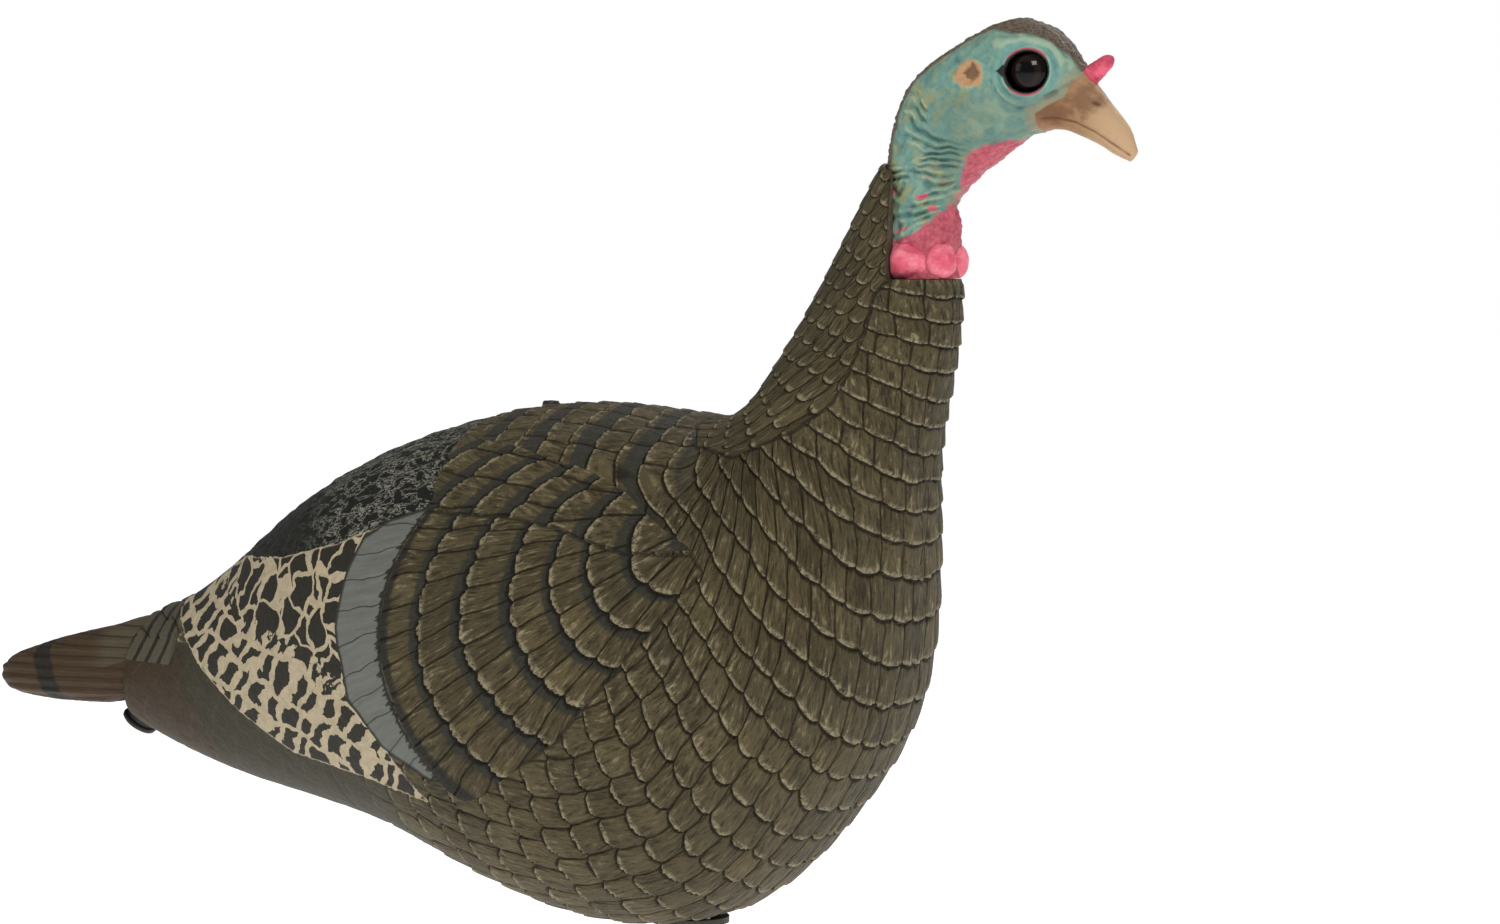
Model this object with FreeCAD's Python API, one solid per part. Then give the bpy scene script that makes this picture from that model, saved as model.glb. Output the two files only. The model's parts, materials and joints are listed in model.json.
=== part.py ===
"""Hen turkey decoy on a two-piece ground stake.

Frame: +X is the way the hen faces, +Y its left side, +Z up. The origin is on the stake's axis
at ground level. All sizes are in millimetres.
"""

import math
import os

import FreeCAD
import Part

V = FreeCAD.Vector

# ---- stake: driving sizes
UPPER_R = 6.35  # outside radius of the upper stake tube
UPPER_BORE_R = 5.4
SPIKE_R = 4.65  # lower stake rod
SPIKE_NECK_R = 4.2  # the rod steps down here, above its shoulder under the foot step
SPIKE_TIP_Z = -185.0
SPIKE_CONE_Z = -160.0  # the rod is straight from here up
STEP_Z = 5.0  # underside of the foot step's collar
STEP_COLLAR_R = 9.0
STEP_THICK = 8.0
STEP_REACH = 62.0
UPPER_LOW_Z = 96.0  # foot of the upper tube, on the coupler's shoulder
SPIKE_TOP_Z = 128.0
COUPLER_LOW_Z = 66.0
COUPLER_TOP_Z = 134.0
COUPLER_R = 8.6
RIVET_Z = 81.0
RIVET_R = 2.0
RIVET_HEAD_R = 3.4
RIVET_HEAD = 1.2
FIT_GAP = 0.1  # radial gap of a running or sliding fit
UPPER_TOP_Z = 396.0  # top of the upper tube, under the pivot tip's rim
TIP_FLANGE = 2.0
TIP_DOME = 6.0

# ---- swivel parts inside the body
BUSH_R = 11.0
BUSH_FLANGE_R = 19.0
BUSH_FLANGE = 3.0
BUSH_TOP_Z = 222.0
BELLY_Z = 200.0  # underside of the bushing's flange, level with the belly
BELLY_BOSS_R = 24.0
BELLY_BOSS_TOP_Z = 217.0
SCREW_CIRCLE_R = 15.0
SCREW_R = 1.3
SCREW_HEAD_R = 2.6
SCREW_HEAD = 1.6
SCREW_LENGTH = 13.0
TUBE_R = 10.5
TUBE_BORE_R = 7.2
TUBE_TOP_Z = 436.0
PAD_Z = 404.3  # face that rests on the pivot tip
PAD_TOP_Z = 432.0
BACK_BOSS_R = 15.0
BACK_BOSS_LOW_Z = 424.0

# ---- body shell
WALL = 3.0
# Each section: top point (x, z), bottom point (x, z), half width. They fan out where the back turns up into the neck.
BODY_SECTIONS = [
    ((-303, 341), (-312, 285), 27),
    ((-280, 349), (-284, 274), 38),
    ((-246, 370), (-246, 262), 54),
    ((-205, 401), (-200, 252), 73),
    ((-158, 427), (-148, 239), 91),
    ((-100, 445), (-90, 216), 104),
    ((-48, 451), (-30, 201), 108),
    ((-8, 448), (32, 212), 105),
    ((16, 446), (76, 251), 96),
    ((30, 448), (106, 296), 85),
    ((39, 454), (118, 345), 73),
    ((46, 462), (122, 392), 60),
    ((53, 474), (125, 430), 48),
    ((64, 493), (133, 465), 37),
    ((78, 519), (138, 494), 29),
    ((92, 546), (139, 521), 24),
    ((104, 568), (140, 548), 21),
]
RUMP_CAVITY = ((-297, 344), (-304, 281), 29)  # where the hollow ends at the rump
CAVITY_SECTIONS = slice(1, 13)  # the neck is solid above the last of these

# ---- neck joint
COLLAR_Z = 513.5  # top of the front of the neck, under the caruncles
COLLAR_SIDE_X = 114.0  # the neck feathers wrap the head's neck back from here
NECK_X = 122.0
NECK_A = 17.0  # half length of the head's neck along X
NECK_B = 19.0  # half width of the head's neck
NECK_GAP = 0.5
PLUG_X = 120.0
PLUG_R = 10.0
PLUG_LOW_Z = 477.0
PLUG_TOP_Z = 530.0
PLUG_FLANGE_Z = 515.0
SOCKET_R = 13.0
SOCKET_LOW_Z = 473.0
PLUG_FLANGE_R = 14.0
PLUG_FLANGE = 4.0

# ---- head: sections as for the body, from the foot of the neck to the beak's tip
HEAD_SECTIONS = [
    ((105.5, 515.0), (139, 514.5), 19.0),
    ((105.5, 534), (138.5, 532), 17.5),
    ((106.5, 560), (139, 550), 17.0),
    ((109, 583), (152, 563), 18.0),
    ((119, 606), (165, 573), 20.0),
    ((141, 622), (175, 580), 21.0),
    ((168, 634), (185, 583), 20.0),
    ((190, 628), (194, 583), 15.5),
    ((205, 609), (202, 580), 11.0),
    ((217, 594), (211, 576), 8.0),
    ((225, 584), (219, 571), 5.5),
    ((229, 574), (225, 568.5), 2.6),
]
HEAD_WALL = 3.5
HEAD_CAVITY_SECTIONS = [
    ((107.5, 536), (136.5, 533), 17.5),
    *HEAD_SECTIONS[2:7],
    ((186, 625), (190, 590), 13.0),
]

# ---- eyes, snood, caruncles
EYE_R = 11.0
EYE_OPENING_R = 9.6
EYE_X, EYE_Y, EYE_Z = 181.0, 9.6, 609.5
EYE_SEAT = 2.0  # wall behind each eye
SNOOD_FOOT = (199.0, 0.0, 606.0)
SNOOD_DIRECTION = (0.83, 0.0, 0.56)
SNOOD_LENGTH = 19.0
SNOOD_R = 4.6
SNOOD_END_R = 3.5
# Each caruncle: centre (x, y, z) and radius. They lie on the front and sides of the neck's foot.
CARUNCLES = [
    (121.5, -14.5, 522.5, 9.0),
    (121.5, 14.5, 522.5, 9.0),
    (132.5, -6.0, 522.5, 8.2),
    (132.5, 6.0, 522.5, 8.2),
]
CARUNCLE_BACK_X = 114.6
CARUNCLE_FOOT_Z = 514.2

# ---- tail
TAIL_SECTIONS = [
    ((-303, 340), (-310, 297), 25),
    ((-322, 335), (-325, 294), 27),
    ((-348, 329), (-349, 294), 29),
    ((-371, 322), (-371, 295), 29),
    ((-384, 317), (-384, 298), 26),
    ((-389, 314), (-389, 301), 21),
]
TONGUE_X = (-312.0, -262.0)
TONGUE_HALF_WIDTH = 17.0
TONGUE_Z = (308.0, 322.0)

# ---- plugs
VENT_SEAT = (-312.0, 0.0, 289.0)
VENT_DIRECTION = (-0.6, 0.0, -0.8)
VENT_R = 5.5
VENT_HEAD_R = 8.0
VENT_HEAD = 6.0
VENT_HEAD_ROUNDING = 2.0
VENT_HEAD_GAP = 0.5  # round and behind the plug's head, in its counterbore
VENT_DEPTH = 13.0
VENT_BOSS_R = 10.5
BACK_PLUG_X = -76.0
BACK_PLUG_SEAT_Z = 448.4
BACK_PLUG_R = 2.6
BACK_PLUG_HEAD_R = 4.0
BACK_PLUG_HEAD = 2.4
BACK_PLUG_DEPTH = 8.0

SECTION_POINTS = 16
FULLNESS = 0.86  # under 1 makes a section squarer than an ellipse
BIG = 900.0


def section_points(top, bottom, half_width, inset=0.0):
    """Points round a section, in the plane of top, bottom and the Y direction."""
    t = V(top[0], 0, top[1])
    b = V(bottom[0], 0, bottom[1])
    down = (b - t).normalize()
    centre = (t + b) * 0.5
    half_height = (b - t).Length / 2 - inset
    width = half_width - inset
    # A cubic spline runs inside its control points by this much round a circle.
    outward = 3.0 / (2.0 + math.cos(2 * math.pi / SECTION_POINTS))
    points = []
    for i in range(SECTION_POINTS):
        a = 2 * math.pi * i / SECTION_POINTS
        side = math.copysign(abs(math.sin(a)) ** FULLNESS, math.sin(a))
        offset = V(0, width * side, 0) - down * (half_height * math.cos(a))
        points.append(centre + offset * outward)
    return points


def skin(sections, inset=0.0):
    """A closed solid whose smooth surface passes through every section, with a flat cap at each end."""
    rows = [section_points(*s, inset=inset) for s in sections]
    steps = [0.0]
    for before, after in zip(rows, rows[1:]):
        apart = sum((q - p).Length for p, q in zip(before, after)) / len(before)
        steps.append(steps[-1] + math.sqrt(apart))
    lines = []
    for j in range(SECTION_POINTS):
        line = Part.BSplineCurve()
        line.interpolate(Points=[row[j] for row in rows], Parameters=steps)
        lines.append(line)
    poles = [line.getPoles() for line in lines]
    round_knots = [float(i) for i in range(SECTION_POINTS + 1)]
    surface = Part.BSplineSurface()
    surface.buildFromPolesMultsKnots(
        poles,
        [1] * len(round_knots),
        lines[0].getMultiplicities(),
        round_knots,
        lines[0].getKnots(),
        True,
        False,
        3,
        lines[0].Degree,
    )
    first, last = surface.bounds()[2:]
    caps = [Part.Face(Part.Wire([surface.vIso(v).toShape()])) for v in (first, last)]
    shell = Part.makeShell([surface.toShape(), *caps])
    shell.sewShape()
    solid = Part.makeSolid(shell)
    if solid.Volume < 0:
        solid.reverse()
    return solid


def cylinder(radius, low_z, top_z, x=0.0, y=0.0):
    return Part.makeCylinder(radius, top_z - low_z, V(x, y, low_z), V(0, 0, 1))


def ring(radius, bore, low_z, top_z, x=0.0):
    return cylinder(radius, low_z, top_z, x).cut(cylinder(bore, low_z - 1, top_z + 1, x))


def half_space(side):
    """Everything on the left (side 1) or right (side -1) of the mid plane."""
    low_y = 0.0 if side > 0 else -BIG
    return Part.makeBox(2 * BIG, BIG, 2 * BIG, V(-BIG, low_y, -BIG))


# ---- stake


def ground_spike():
    rod = cylinder(SPIKE_R, SPIKE_CONE_Z, STEP_Z)
    neck = cylinder(SPIKE_NECK_R, STEP_Z, SPIKE_TOP_Z)
    tip = Part.makeCone(0.6, SPIKE_R, SPIKE_CONE_Z - SPIKE_TIP_Z, V(0, 0, SPIKE_TIP_Z), V(0, 0, 1))
    return rod.fuse([tip, neck]).removeSplitter().cut(coupler_rivet())


def foot_step():
    """A collar welded to the rod, with a flat tread that a boot pushes on."""
    tread_width = 16.0
    tread_drop = 3.0
    collar = cylinder(STEP_COLLAR_R, STEP_Z, STEP_Z + STEP_THICK + 4)
    tread = Part.makeBox(STEP_REACH, tread_width, STEP_THICK - tread_drop, V(0, -tread_width / 2, STEP_Z))
    end = cylinder(tread_width / 2, STEP_Z, STEP_Z + STEP_THICK - tread_drop, STEP_REACH)
    lip = Part.makeBox(4.0, tread_width * 0.6, 6.0, V(STEP_REACH + 3, -tread_width * 0.3, STEP_Z))
    step = collar.fuse([tread, end, lip]).removeSplitter()
    return step.cut(cylinder(SPIKE_NECK_R, STEP_Z - 1, STEP_Z + BIG))


def stake_coupler():
    """A sleeve fixed on the spike, open at the top for the upper tube."""
    sleeve = cylinder(COUPLER_R, COUPLER_LOW_Z, COUPLER_TOP_Z)
    sleeve = sleeve.cut(cylinder(SPIKE_NECK_R, COUPLER_LOW_Z - 1, COUPLER_TOP_Z + 1))
    sleeve = sleeve.cut(cylinder(UPPER_R + FIT_GAP, UPPER_LOW_Z, COUPLER_TOP_Z + 1))
    return sleeve.cut(coupler_rivet())


def coupler_rivet():
    """A cross rivet through the sleeve and the spike."""
    across = (0, 1, 0)
    middle = (0, 0, RIVET_Z)
    shank = axial(RIVET_R, middle, across, -COUPLER_R, 2 * COUPLER_R)
    heads = [axial(RIVET_HEAD_R, middle, (0, side, 0), COUPLER_R - 0.4, RIVET_HEAD) for side in (1, -1)]
    return shank.fuse(heads).removeSplitter()


def upper_stake():
    return ring(UPPER_R, UPPER_BORE_R, UPPER_LOW_Z, UPPER_TOP_Z)


def pivot_tip():
    """A nylon tip pressed into the top of the tube; the body turns on its dome."""
    peg = cylinder(UPPER_BORE_R, UPPER_TOP_Z - 22, UPPER_TOP_Z)
    flange = cylinder(UPPER_R, UPPER_TOP_Z, UPPER_TOP_Z + TIP_FLANGE)
    dome_r = (UPPER_R**2 + TIP_DOME**2) / (2 * TIP_DOME)
    centre_z = UPPER_TOP_Z + TIP_FLANGE + TIP_DOME - dome_r
    dome = Part.makeSphere(dome_r, V(0, 0, centre_z))
    dome = dome.common(cylinder(UPPER_R, UPPER_TOP_Z + TIP_FLANGE, UPPER_TOP_Z + TIP_FLANGE + TIP_DOME + 1))
    return peg.fuse([flange, dome]).removeSplitter()


# ---- swivel parts


def belly_screws():
    """Three screws that hold the bushing's flange up against the belly."""
    screws = []
    for i in range(3):
        a = math.radians(90 + 120 * i)
        x, y = SCREW_CIRCLE_R * math.cos(a), SCREW_CIRCLE_R * math.sin(a)
        head = cylinder(SCREW_HEAD_R, BELLY_Z, BELLY_Z + SCREW_HEAD, x, y)
        shank = cylinder(SCREW_R, BELLY_Z, BELLY_Z + SCREW_LENGTH, x, y)
        screws.append(head.fuse(shank).removeSplitter())
    return screws


def belly_bushing():
    body = cylinder(BUSH_R, BELLY_Z + 1, BUSH_TOP_Z)
    flange = cylinder(BUSH_FLANGE_R, BELLY_Z, BELLY_Z + BUSH_FLANGE)
    bore = cylinder(UPPER_R + FIT_GAP, BELLY_Z - 1, BUSH_TOP_Z + 1)
    return body.fuse(flange).removeSplitter().cut([bore, *belly_screws()])


def pivot_tube():
    return ring(TUBE_R, TUBE_BORE_R, BUSH_TOP_Z, TUBE_TOP_Z)


def thrust_pad():
    """A hard plug in the top of the pivot tube, which rests on the pivot tip."""
    return cylinder(TUBE_BORE_R, PAD_Z, PAD_TOP_Z)


# ---- body


def axial(radius, base, direction, start, length):
    """A cylinder along a direction, starting a distance from its base point."""
    d = V(*direction).normalize()
    return Part.makeCylinder(radius, length, V(*base) + d * start, d)


def neck_pocket():
    """The room for the head's neck: an oval scoop, open to the front over the collar."""
    oval = Part.Ellipse(V(NECK_X, 0, COLLAR_Z), NECK_B + NECK_GAP, NECK_A + NECK_GAP).toShape()
    oval.rotate(V(NECK_X, 0, COLLAR_Z), V(0, 0, 1), 90)
    scoop = Part.Face(Part.Wire([oval])).extrude(V(0, 0, 120))
    front = Part.makeBox(120, 120, 120, V(COLLAR_SIDE_X, -60, COLLAR_Z))
    return scoop.fuse(front)


def vent_openings():
    """The vent plug's hole and the counterbore of its head."""
    hole = axial(VENT_R, VENT_SEAT, VENT_DIRECTION, -40, 60)
    counterbore = axial(VENT_HEAD_R + VENT_HEAD_GAP, VENT_SEAT, VENT_DIRECTION, 0, 30)
    return [hole, counterbore]


def body_shells():
    outer = skin(BODY_SECTIONS)
    cavity = skin([RUMP_CAVITY, *BODY_SECTIONS[CAVITY_SECTIONS]], inset=WALL)
    bosses = [
        cylinder(BELLY_BOSS_R, BELLY_Z - 5, BELLY_BOSS_TOP_Z),
        cylinder(BACK_BOSS_R, BACK_BOSS_LOW_Z, BACK_BOSS_LOW_Z + 40),
        axial(VENT_BOSS_R, VENT_SEAT, VENT_DIRECTION, -18, 20),
    ]
    shell = outer.cut(cavity).fuse([boss.common(outer) for boss in bosses])
    openings = [
        cylinder(BUSH_FLANGE_R, BELLY_Z - 20, BELLY_Z + BUSH_FLANGE),
        cylinder(BUSH_R, BELLY_Z - 20, BELLY_BOSS_TOP_Z + 5),
        cylinder(TUBE_R, BACK_BOSS_LOW_Z - 1, TUBE_TOP_Z),
        neck_pocket(),
        cylinder(SOCKET_R, SOCKET_LOW_Z, COLLAR_Z + 1, PLUG_X),
        tail_tongue(),
        *vent_openings(),
        cylinder(BACK_PLUG_R, BACK_PLUG_SEAT_Z - 20, BACK_PLUG_SEAT_Z + 20, BACK_PLUG_X),
        cylinder(BACK_PLUG_HEAD_R, BACK_PLUG_SEAT_Z, BACK_PLUG_SEAT_Z + 20, BACK_PLUG_X),
        *belly_screws(),
    ]
    for opening in openings:
        shell = shell.cut(opening)
    return shell.common(half_space(1)), shell.common(half_space(-1))


def neck_socket():
    cup = cylinder(SOCKET_R, SOCKET_LOW_Z, COLLAR_Z, PLUG_X)
    return cup.cut(cylinder(PLUG_R + FIT_GAP, PLUG_LOW_Z - 0.5, COLLAR_Z + 1, PLUG_X))


def tail_tongue():
    low_x, high_x = TONGUE_X
    low_z, high_z = TONGUE_Z
    size = (high_x - low_x, 2 * TONGUE_HALF_WIDTH, high_z - low_z)
    return Part.makeBox(*size, V(low_x, -TONGUE_HALF_WIDTH, low_z))


def tail_fan():
    """The tail wedge, shaped to the rump's end and to the plug's counterbore, with its tongue."""
    wedge = skin(TAIL_SECTIONS).cut([skin(BODY_SECTIONS), *vent_openings()])
    return wedge.fuse(tail_tongue()).removeSplitter()


def vent_plug():
    """A push-in plug. Its shank is a snug fit and its domed head stands in a counterbore."""
    shank = axial(VENT_R - FIT_GAP, VENT_SEAT, VENT_DIRECTION, -VENT_DEPTH, VENT_DEPTH + 1)
    head = axial(VENT_HEAD_R, VENT_SEAT, VENT_DIRECTION, VENT_HEAD_GAP, VENT_HEAD)
    outward = V(*VENT_DIRECTION)
    rims = [e for e in head.Edges if len(e.Vertexes) == 1]
    rim = max(rims, key=lambda e: (e.CenterOfMass - V(*VENT_SEAT)).dot(outward))
    return head.makeFillet(VENT_HEAD_ROUNDING, [rim]).fuse(shank).removeSplitter()


def back_plug():
    shank = cylinder(BACK_PLUG_R, BACK_PLUG_SEAT_Z - BACK_PLUG_DEPTH, BACK_PLUG_SEAT_Z + 0.5, BACK_PLUG_X)
    head = cylinder(BACK_PLUG_HEAD_R, BACK_PLUG_SEAT_Z, BACK_PLUG_SEAT_Z + BACK_PLUG_HEAD, BACK_PLUG_X)
    return shank.fuse(head).removeSplitter()


# ---- head


def eye(side):
    """A domed eye with a flat back on the mid plane of the head."""
    return Part.makeSphere(EYE_R, V(EYE_X, side * EYE_Y, EYE_Z)).common(half_space(side))


def snood():
    """The fleshy spike over the beak."""
    foot = V(*SNOOD_FOOT)
    d = V(*SNOOD_DIRECTION).normalize()
    reach = SNOOD_LENGTH - SNOOD_END_R
    stem = Part.makeCone(SNOOD_R, SNOOD_END_R, reach, foot, d)
    return stem.fuse(Part.makeSphere(SNOOD_END_R, foot + d * reach))


def caruncles():
    lumps = [Part.makeSphere(r, V(x, y, z)) for x, y, z, r in CARUNCLES]
    keep = Part.makeBox(60, 80, 60, V(CARUNCLE_BACK_X, -40, CARUNCLE_FOOT_Z))
    return lumps[0].fuse(lumps[1:]).common(keep)


def head_plug():
    """The hard plug moulded into the head's neck; it pushes into the neck socket."""
    peg = cylinder(PLUG_R, PLUG_LOW_Z, PLUG_TOP_Z, PLUG_X)
    flange = cylinder(PLUG_FLANGE_R, PLUG_FLANGE_Z, PLUG_FLANGE_Z + PLUG_FLANGE, PLUG_X)
    return peg.fuse(flange).removeSplitter()


def eye_opening(side):
    """The round opening in the skin that an eye looks out of."""
    return axial(EYE_OPENING_R, (EYE_X, 0, EYE_Z), (0, side, 0), EYE_Y + EYE_SEAT, 30)


def head_shell():
    """One soft moulding: skin, beak, snood and caruncles, hollow behind the beak."""
    outer = skin(HEAD_SECTIONS)
    cavity = skin(HEAD_CAVITY_SECTIONS, inset=HEAD_WALL)
    seats = [Part.makeSphere(EYE_R + EYE_SEAT, V(EYE_X, side * EYE_Y, EYE_Z)) for side in (1, -1)]
    shell = outer.cut(cavity).fuse([seat.common(outer) for seat in seats])
    shell = shell.fuse([snood(), caruncles()])
    shell = shell.cut([eye_opening(1), eye_opening(-1)])
    return shell.cut([head_plug(), eye(1), eye(-1)])


def main():
    os.makedirs("parts", exist_ok=True)
    left, right = body_shells()
    pieces = {
        "ground_spike": ground_spike(),
        "foot_step": foot_step(),
        "stake_coupler": stake_coupler(),
        "coupler_rivet": coupler_rivet(),
        "upper_stake": upper_stake(),
        "pivot_tip": pivot_tip(),
        "belly_bushing": belly_bushing(),
        "belly_screws": Part.makeCompound(belly_screws()),
        "pivot_tube": pivot_tube(),
        "thrust_pad": thrust_pad(),
        "body_shell_left": left,
        "body_shell_right": right,
        "neck_socket": neck_socket(),
        "tail_fan": tail_fan(),
        "vent_plug": vent_plug(),
        "back_plug": back_plug(),
        "head_shell": head_shell(),
        "head_plug": head_plug(),
        "left_eye": eye(1),
        "right_eye": eye(-1),
    }
    for name, shape in pieces.items():
        print(name, "solids", len(shape.Solids), "valid", shape.isValid(), "volume", round(shape.Volume))
        shape.exportStep(f"parts/{name}.step")


main()
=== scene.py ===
"""Looks for the hen turkey decoy: moulded plumage over the CAD shells, tail, head, eyes, plugs and stake.

The design work is done in millimetres and turned into metres where a mesh is made.
"""

import json
import math

import bpy
import numpy as np
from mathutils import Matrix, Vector
from mathutils.bvhtree import BVHTree


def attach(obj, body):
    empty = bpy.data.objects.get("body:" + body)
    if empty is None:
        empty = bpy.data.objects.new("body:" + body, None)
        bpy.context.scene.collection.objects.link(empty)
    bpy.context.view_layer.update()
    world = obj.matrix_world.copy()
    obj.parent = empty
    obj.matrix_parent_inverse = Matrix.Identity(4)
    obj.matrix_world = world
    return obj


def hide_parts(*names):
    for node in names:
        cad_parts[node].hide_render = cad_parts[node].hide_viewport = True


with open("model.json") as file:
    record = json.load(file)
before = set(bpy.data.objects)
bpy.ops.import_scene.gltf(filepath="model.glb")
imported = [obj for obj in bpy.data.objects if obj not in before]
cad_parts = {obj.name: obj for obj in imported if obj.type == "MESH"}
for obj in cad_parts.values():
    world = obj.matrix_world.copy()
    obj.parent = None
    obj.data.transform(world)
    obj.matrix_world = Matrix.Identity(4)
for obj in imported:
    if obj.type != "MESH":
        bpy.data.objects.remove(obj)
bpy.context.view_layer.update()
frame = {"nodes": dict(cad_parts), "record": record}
NODES = frame["nodes"]

MM = 0.001
SPACING = 1.35  # between the body's vertices
SEED = 7
# a turn of the noise lattice, which keeps it off the part's own axes
TILT = np.array([[0.36, 0.48, -0.8], [-0.8, 0.6, 0.0], [0.48, 0.64, 0.6]])


# ---- small numeric tools


def smoothstep(low, high, value):
    t = np.clip((value - low) / (high - low), 0.0, 1.0)
    return t * t * (3.0 - 2.0 * t)


def lattice(i, j, k, seed):
    """A repeatable random number from 0 to 1 for each whole-numbered place."""
    h = i * 374761393 + j * 668265263 + k * 2147483647 + seed * 1274126177
    h = (h ^ (h >> 13)) * 1274126177
    return ((h ^ (h >> 16)) & 0xFFFFFF) / float(0xFFFFFF)


def noise(points, size, seed=SEED):
    """Smooth noise from -1 to 1 that changes over about one size."""
    p = np.asarray(points, float) @ TILT / size
    base = np.floor(p).astype(np.int64)
    f = p - base
    f = f * f * (3.0 - 2.0 * f)
    total = np.zeros(len(p))
    for dx in (0, 1):
        for dy in (0, 1):
            for dz in (0, 1):
                weight = (
                    np.where(dx, f[:, 0], 1 - f[:, 0])
                    * np.where(dy, f[:, 1], 1 - f[:, 1])
                    * np.where(dz, f[:, 2], 1 - f[:, 2])
                )
                total += weight * lattice(base[:, 0] + dx, base[:, 1] + dy, base[:, 2] + dz, seed)
    return 2.0 * total - 1.0


def step_lengths(line):
    return np.linalg.norm(np.diff(line, axis=0), axis=1)


def run_along(line):
    """The length run along a line, at each of its points."""
    return np.concatenate([[0], np.cumsum(step_lengths(line))])


def resample(line, run, at):
    """The points of a line where its run has these values."""
    return np.stack([np.interp(at, run, column) for column in line.T], axis=1)


def along_curve(points, count, per_span=40):
    """Evenly spaced points on a smooth curve through the given ones."""
    p = np.asarray(points, float)
    p = np.vstack([2 * p[0] - p[1], p, 2 * p[-1] - p[-2]])
    t = np.linspace(0, 1, per_span, endpoint=False)[:, None]
    dense = []
    for a, b, c, d in zip(p, p[1:], p[2:], p[3:]):
        curve = 2 * b + (c - a) * t + (2 * a - 5 * b + 4 * c - d) * t**2 + (3 * b - a - 3 * c + d) * t**3
        dense.append(0.5 * curve)
    dense.append(p[-2][None])
    dense = np.vstack(dense)
    run = run_along(dense)
    return resample(dense, run, np.linspace(0, run[-1], count))


def blur(grid, sigma_rows, sigma_columns):
    """Gaussian smoothing of a grid, with its edges held."""
    for axis, sigma in ((0, sigma_rows), (1, sigma_columns)):
        reach = int(3 * sigma) + 1
        weights = np.exp(-0.5 * (np.arange(-reach, reach + 1) / sigma) ** 2)
        weights /= weights.sum()
        pad = [(0, 0), (0, 0)]
        pad[axis] = (reach, reach)
        wide = np.pad(grid, pad, mode="reflect", reflect_type="odd" if axis == 0 else "even")
        grid = np.apply_along_axis(lambda line: np.convolve(line, weights, mode="valid"), axis, wide)
    return grid


def fill_gaps(grid):
    """Fills the missing places of a grid from their neighbours."""
    missing = np.isnan(grid)
    rows = np.arange(grid.shape[0])
    filled = grid.copy()
    for column in range(grid.shape[1]):
        good = ~missing[:, column]
        if good.any():
            filled[:, column] = np.interp(rows, rows[good], grid[good, column])
    columns = np.arange(grid.shape[1])
    for row in range(grid.shape[0]):
        good = ~np.isnan(filled[row])
        filled[row] = np.interp(columns, columns[good], filled[row, good])
    for _ in range(200):
        wide = np.pad(filled, 1, mode="edge")
        mean = (wide[:-2, 1:-1] + wide[2:, 1:-1] + wide[1:-1, :-2] + wide[1:-1, 2:]) / 4
        filled[missing] = mean[missing]
    return filled


# ---- surfaces taken from the CAD solids


def tree_of(names):
    """A ray-casting tree of several CAD nodes, in millimetres."""
    points, faces = [], []
    for name in names:
        mesh = NODES[name].data
        start = len(points)
        points.extend(tuple(v.co / MM) for v in mesh.vertices)
        faces.extend(tuple(start + i for i in polygon.vertices) for polygon in mesh.polygons)
    return BVHTree.FromPolygons(points, faces)


def half_rows(tree, planes, spacing, skip, rays=90, reach=260.0, soften=(3.0, 1.6)):
    """Rows of points over the right side of a CAD surface, one row in each plane.

    A plane holds the Y direction and the line from its top to its bottom point. Each row runs from top to
    bottom. Returns the rows, and for each the length run from the top.
    """
    angles = np.linspace(0, math.pi, rays)
    radii = np.full((len(planes), rays), np.nan)
    for i, (top_x, top_z, low_x, low_z) in enumerate(planes):
        centre = Vector(((top_x + low_x) / 2, 0, (top_z + low_z) / 2))
        up = Vector((top_x - low_x, 0, top_z - low_z)).normalized()
        for k, angle in enumerate(angles):
            out = up * math.cos(angle) - Vector((0, math.sin(angle), 0))
            place = tree.ray_cast(centre + out * reach + Vector((0, -0.01, 0)), -out, reach)[0]
            if place is not None and not skip(place):
                radii[i, k] = (place - centre).length
    radii = blur(fill_gaps(radii), *soften)
    rows, runs = [], []
    fine = np.linspace(0, math.pi, 4 * rays)
    for (top_x, top_z, low_x, low_z), radius in zip(planes, radii):
        r = np.interp(fine, angles, radius)
        up = np.array([top_x - low_x, top_z - low_z])
        up = up / np.linalg.norm(up)
        line = np.stack(
            [
                (top_x + low_x) / 2 + up[0] * r * np.cos(fine),
                -r * np.sin(fine),
                (top_z + low_z) / 2 + up[1] * r * np.cos(fine),
            ],
            axis=1,
        )
        run = run_along(line)
        at = np.linspace(0, run[-1], max(8, int(round(run[-1] / spacing))))
        rows.append(resample(line, run, at))
        runs.append(at)
    return rows, runs


def stitch(counts):
    """Triangles between rows with these numbers of points."""
    faces = []
    start = 0
    for n, m in zip(counts, counts[1:]):
        lower, upper = start, start + n
        here = (np.arange(n - 1) + 0.5) / (n - 1)
        there = (np.arange(m - 1) + 0.5) / (m - 1)
        apex = np.searchsorted(there, here)
        faces.append(np.stack([lower + np.arange(n - 1), lower + np.arange(1, n), upper + apex], axis=1))
        apex = np.searchsorted(here, there, side="right")
        faces.append(np.stack([lower + apex, upper + np.arange(1, m), upper + np.arange(m - 1)], axis=1))
        start += n
    return np.vstack(faces)


def normals_of(points, faces):
    a, b, c = (points[faces[:, k]] for k in range(3))
    face = np.cross(b - a, c - a)
    total = np.zeros_like(points)
    for k in range(3):
        for axis in range(3):
            total[:, axis] += np.bincount(faces[:, k], face[:, axis], len(points))
    return total / np.maximum(np.linalg.norm(total, axis=1, keepdims=True), 1e-9)


def only_used(faces, count):
    """The numbers of the points that some faces use, and those faces numbered to match."""
    used = np.unique(faces)
    renumber = np.full(count, -1)
    renumber[used] = np.arange(len(used))
    return used, renumber[faces]


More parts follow.
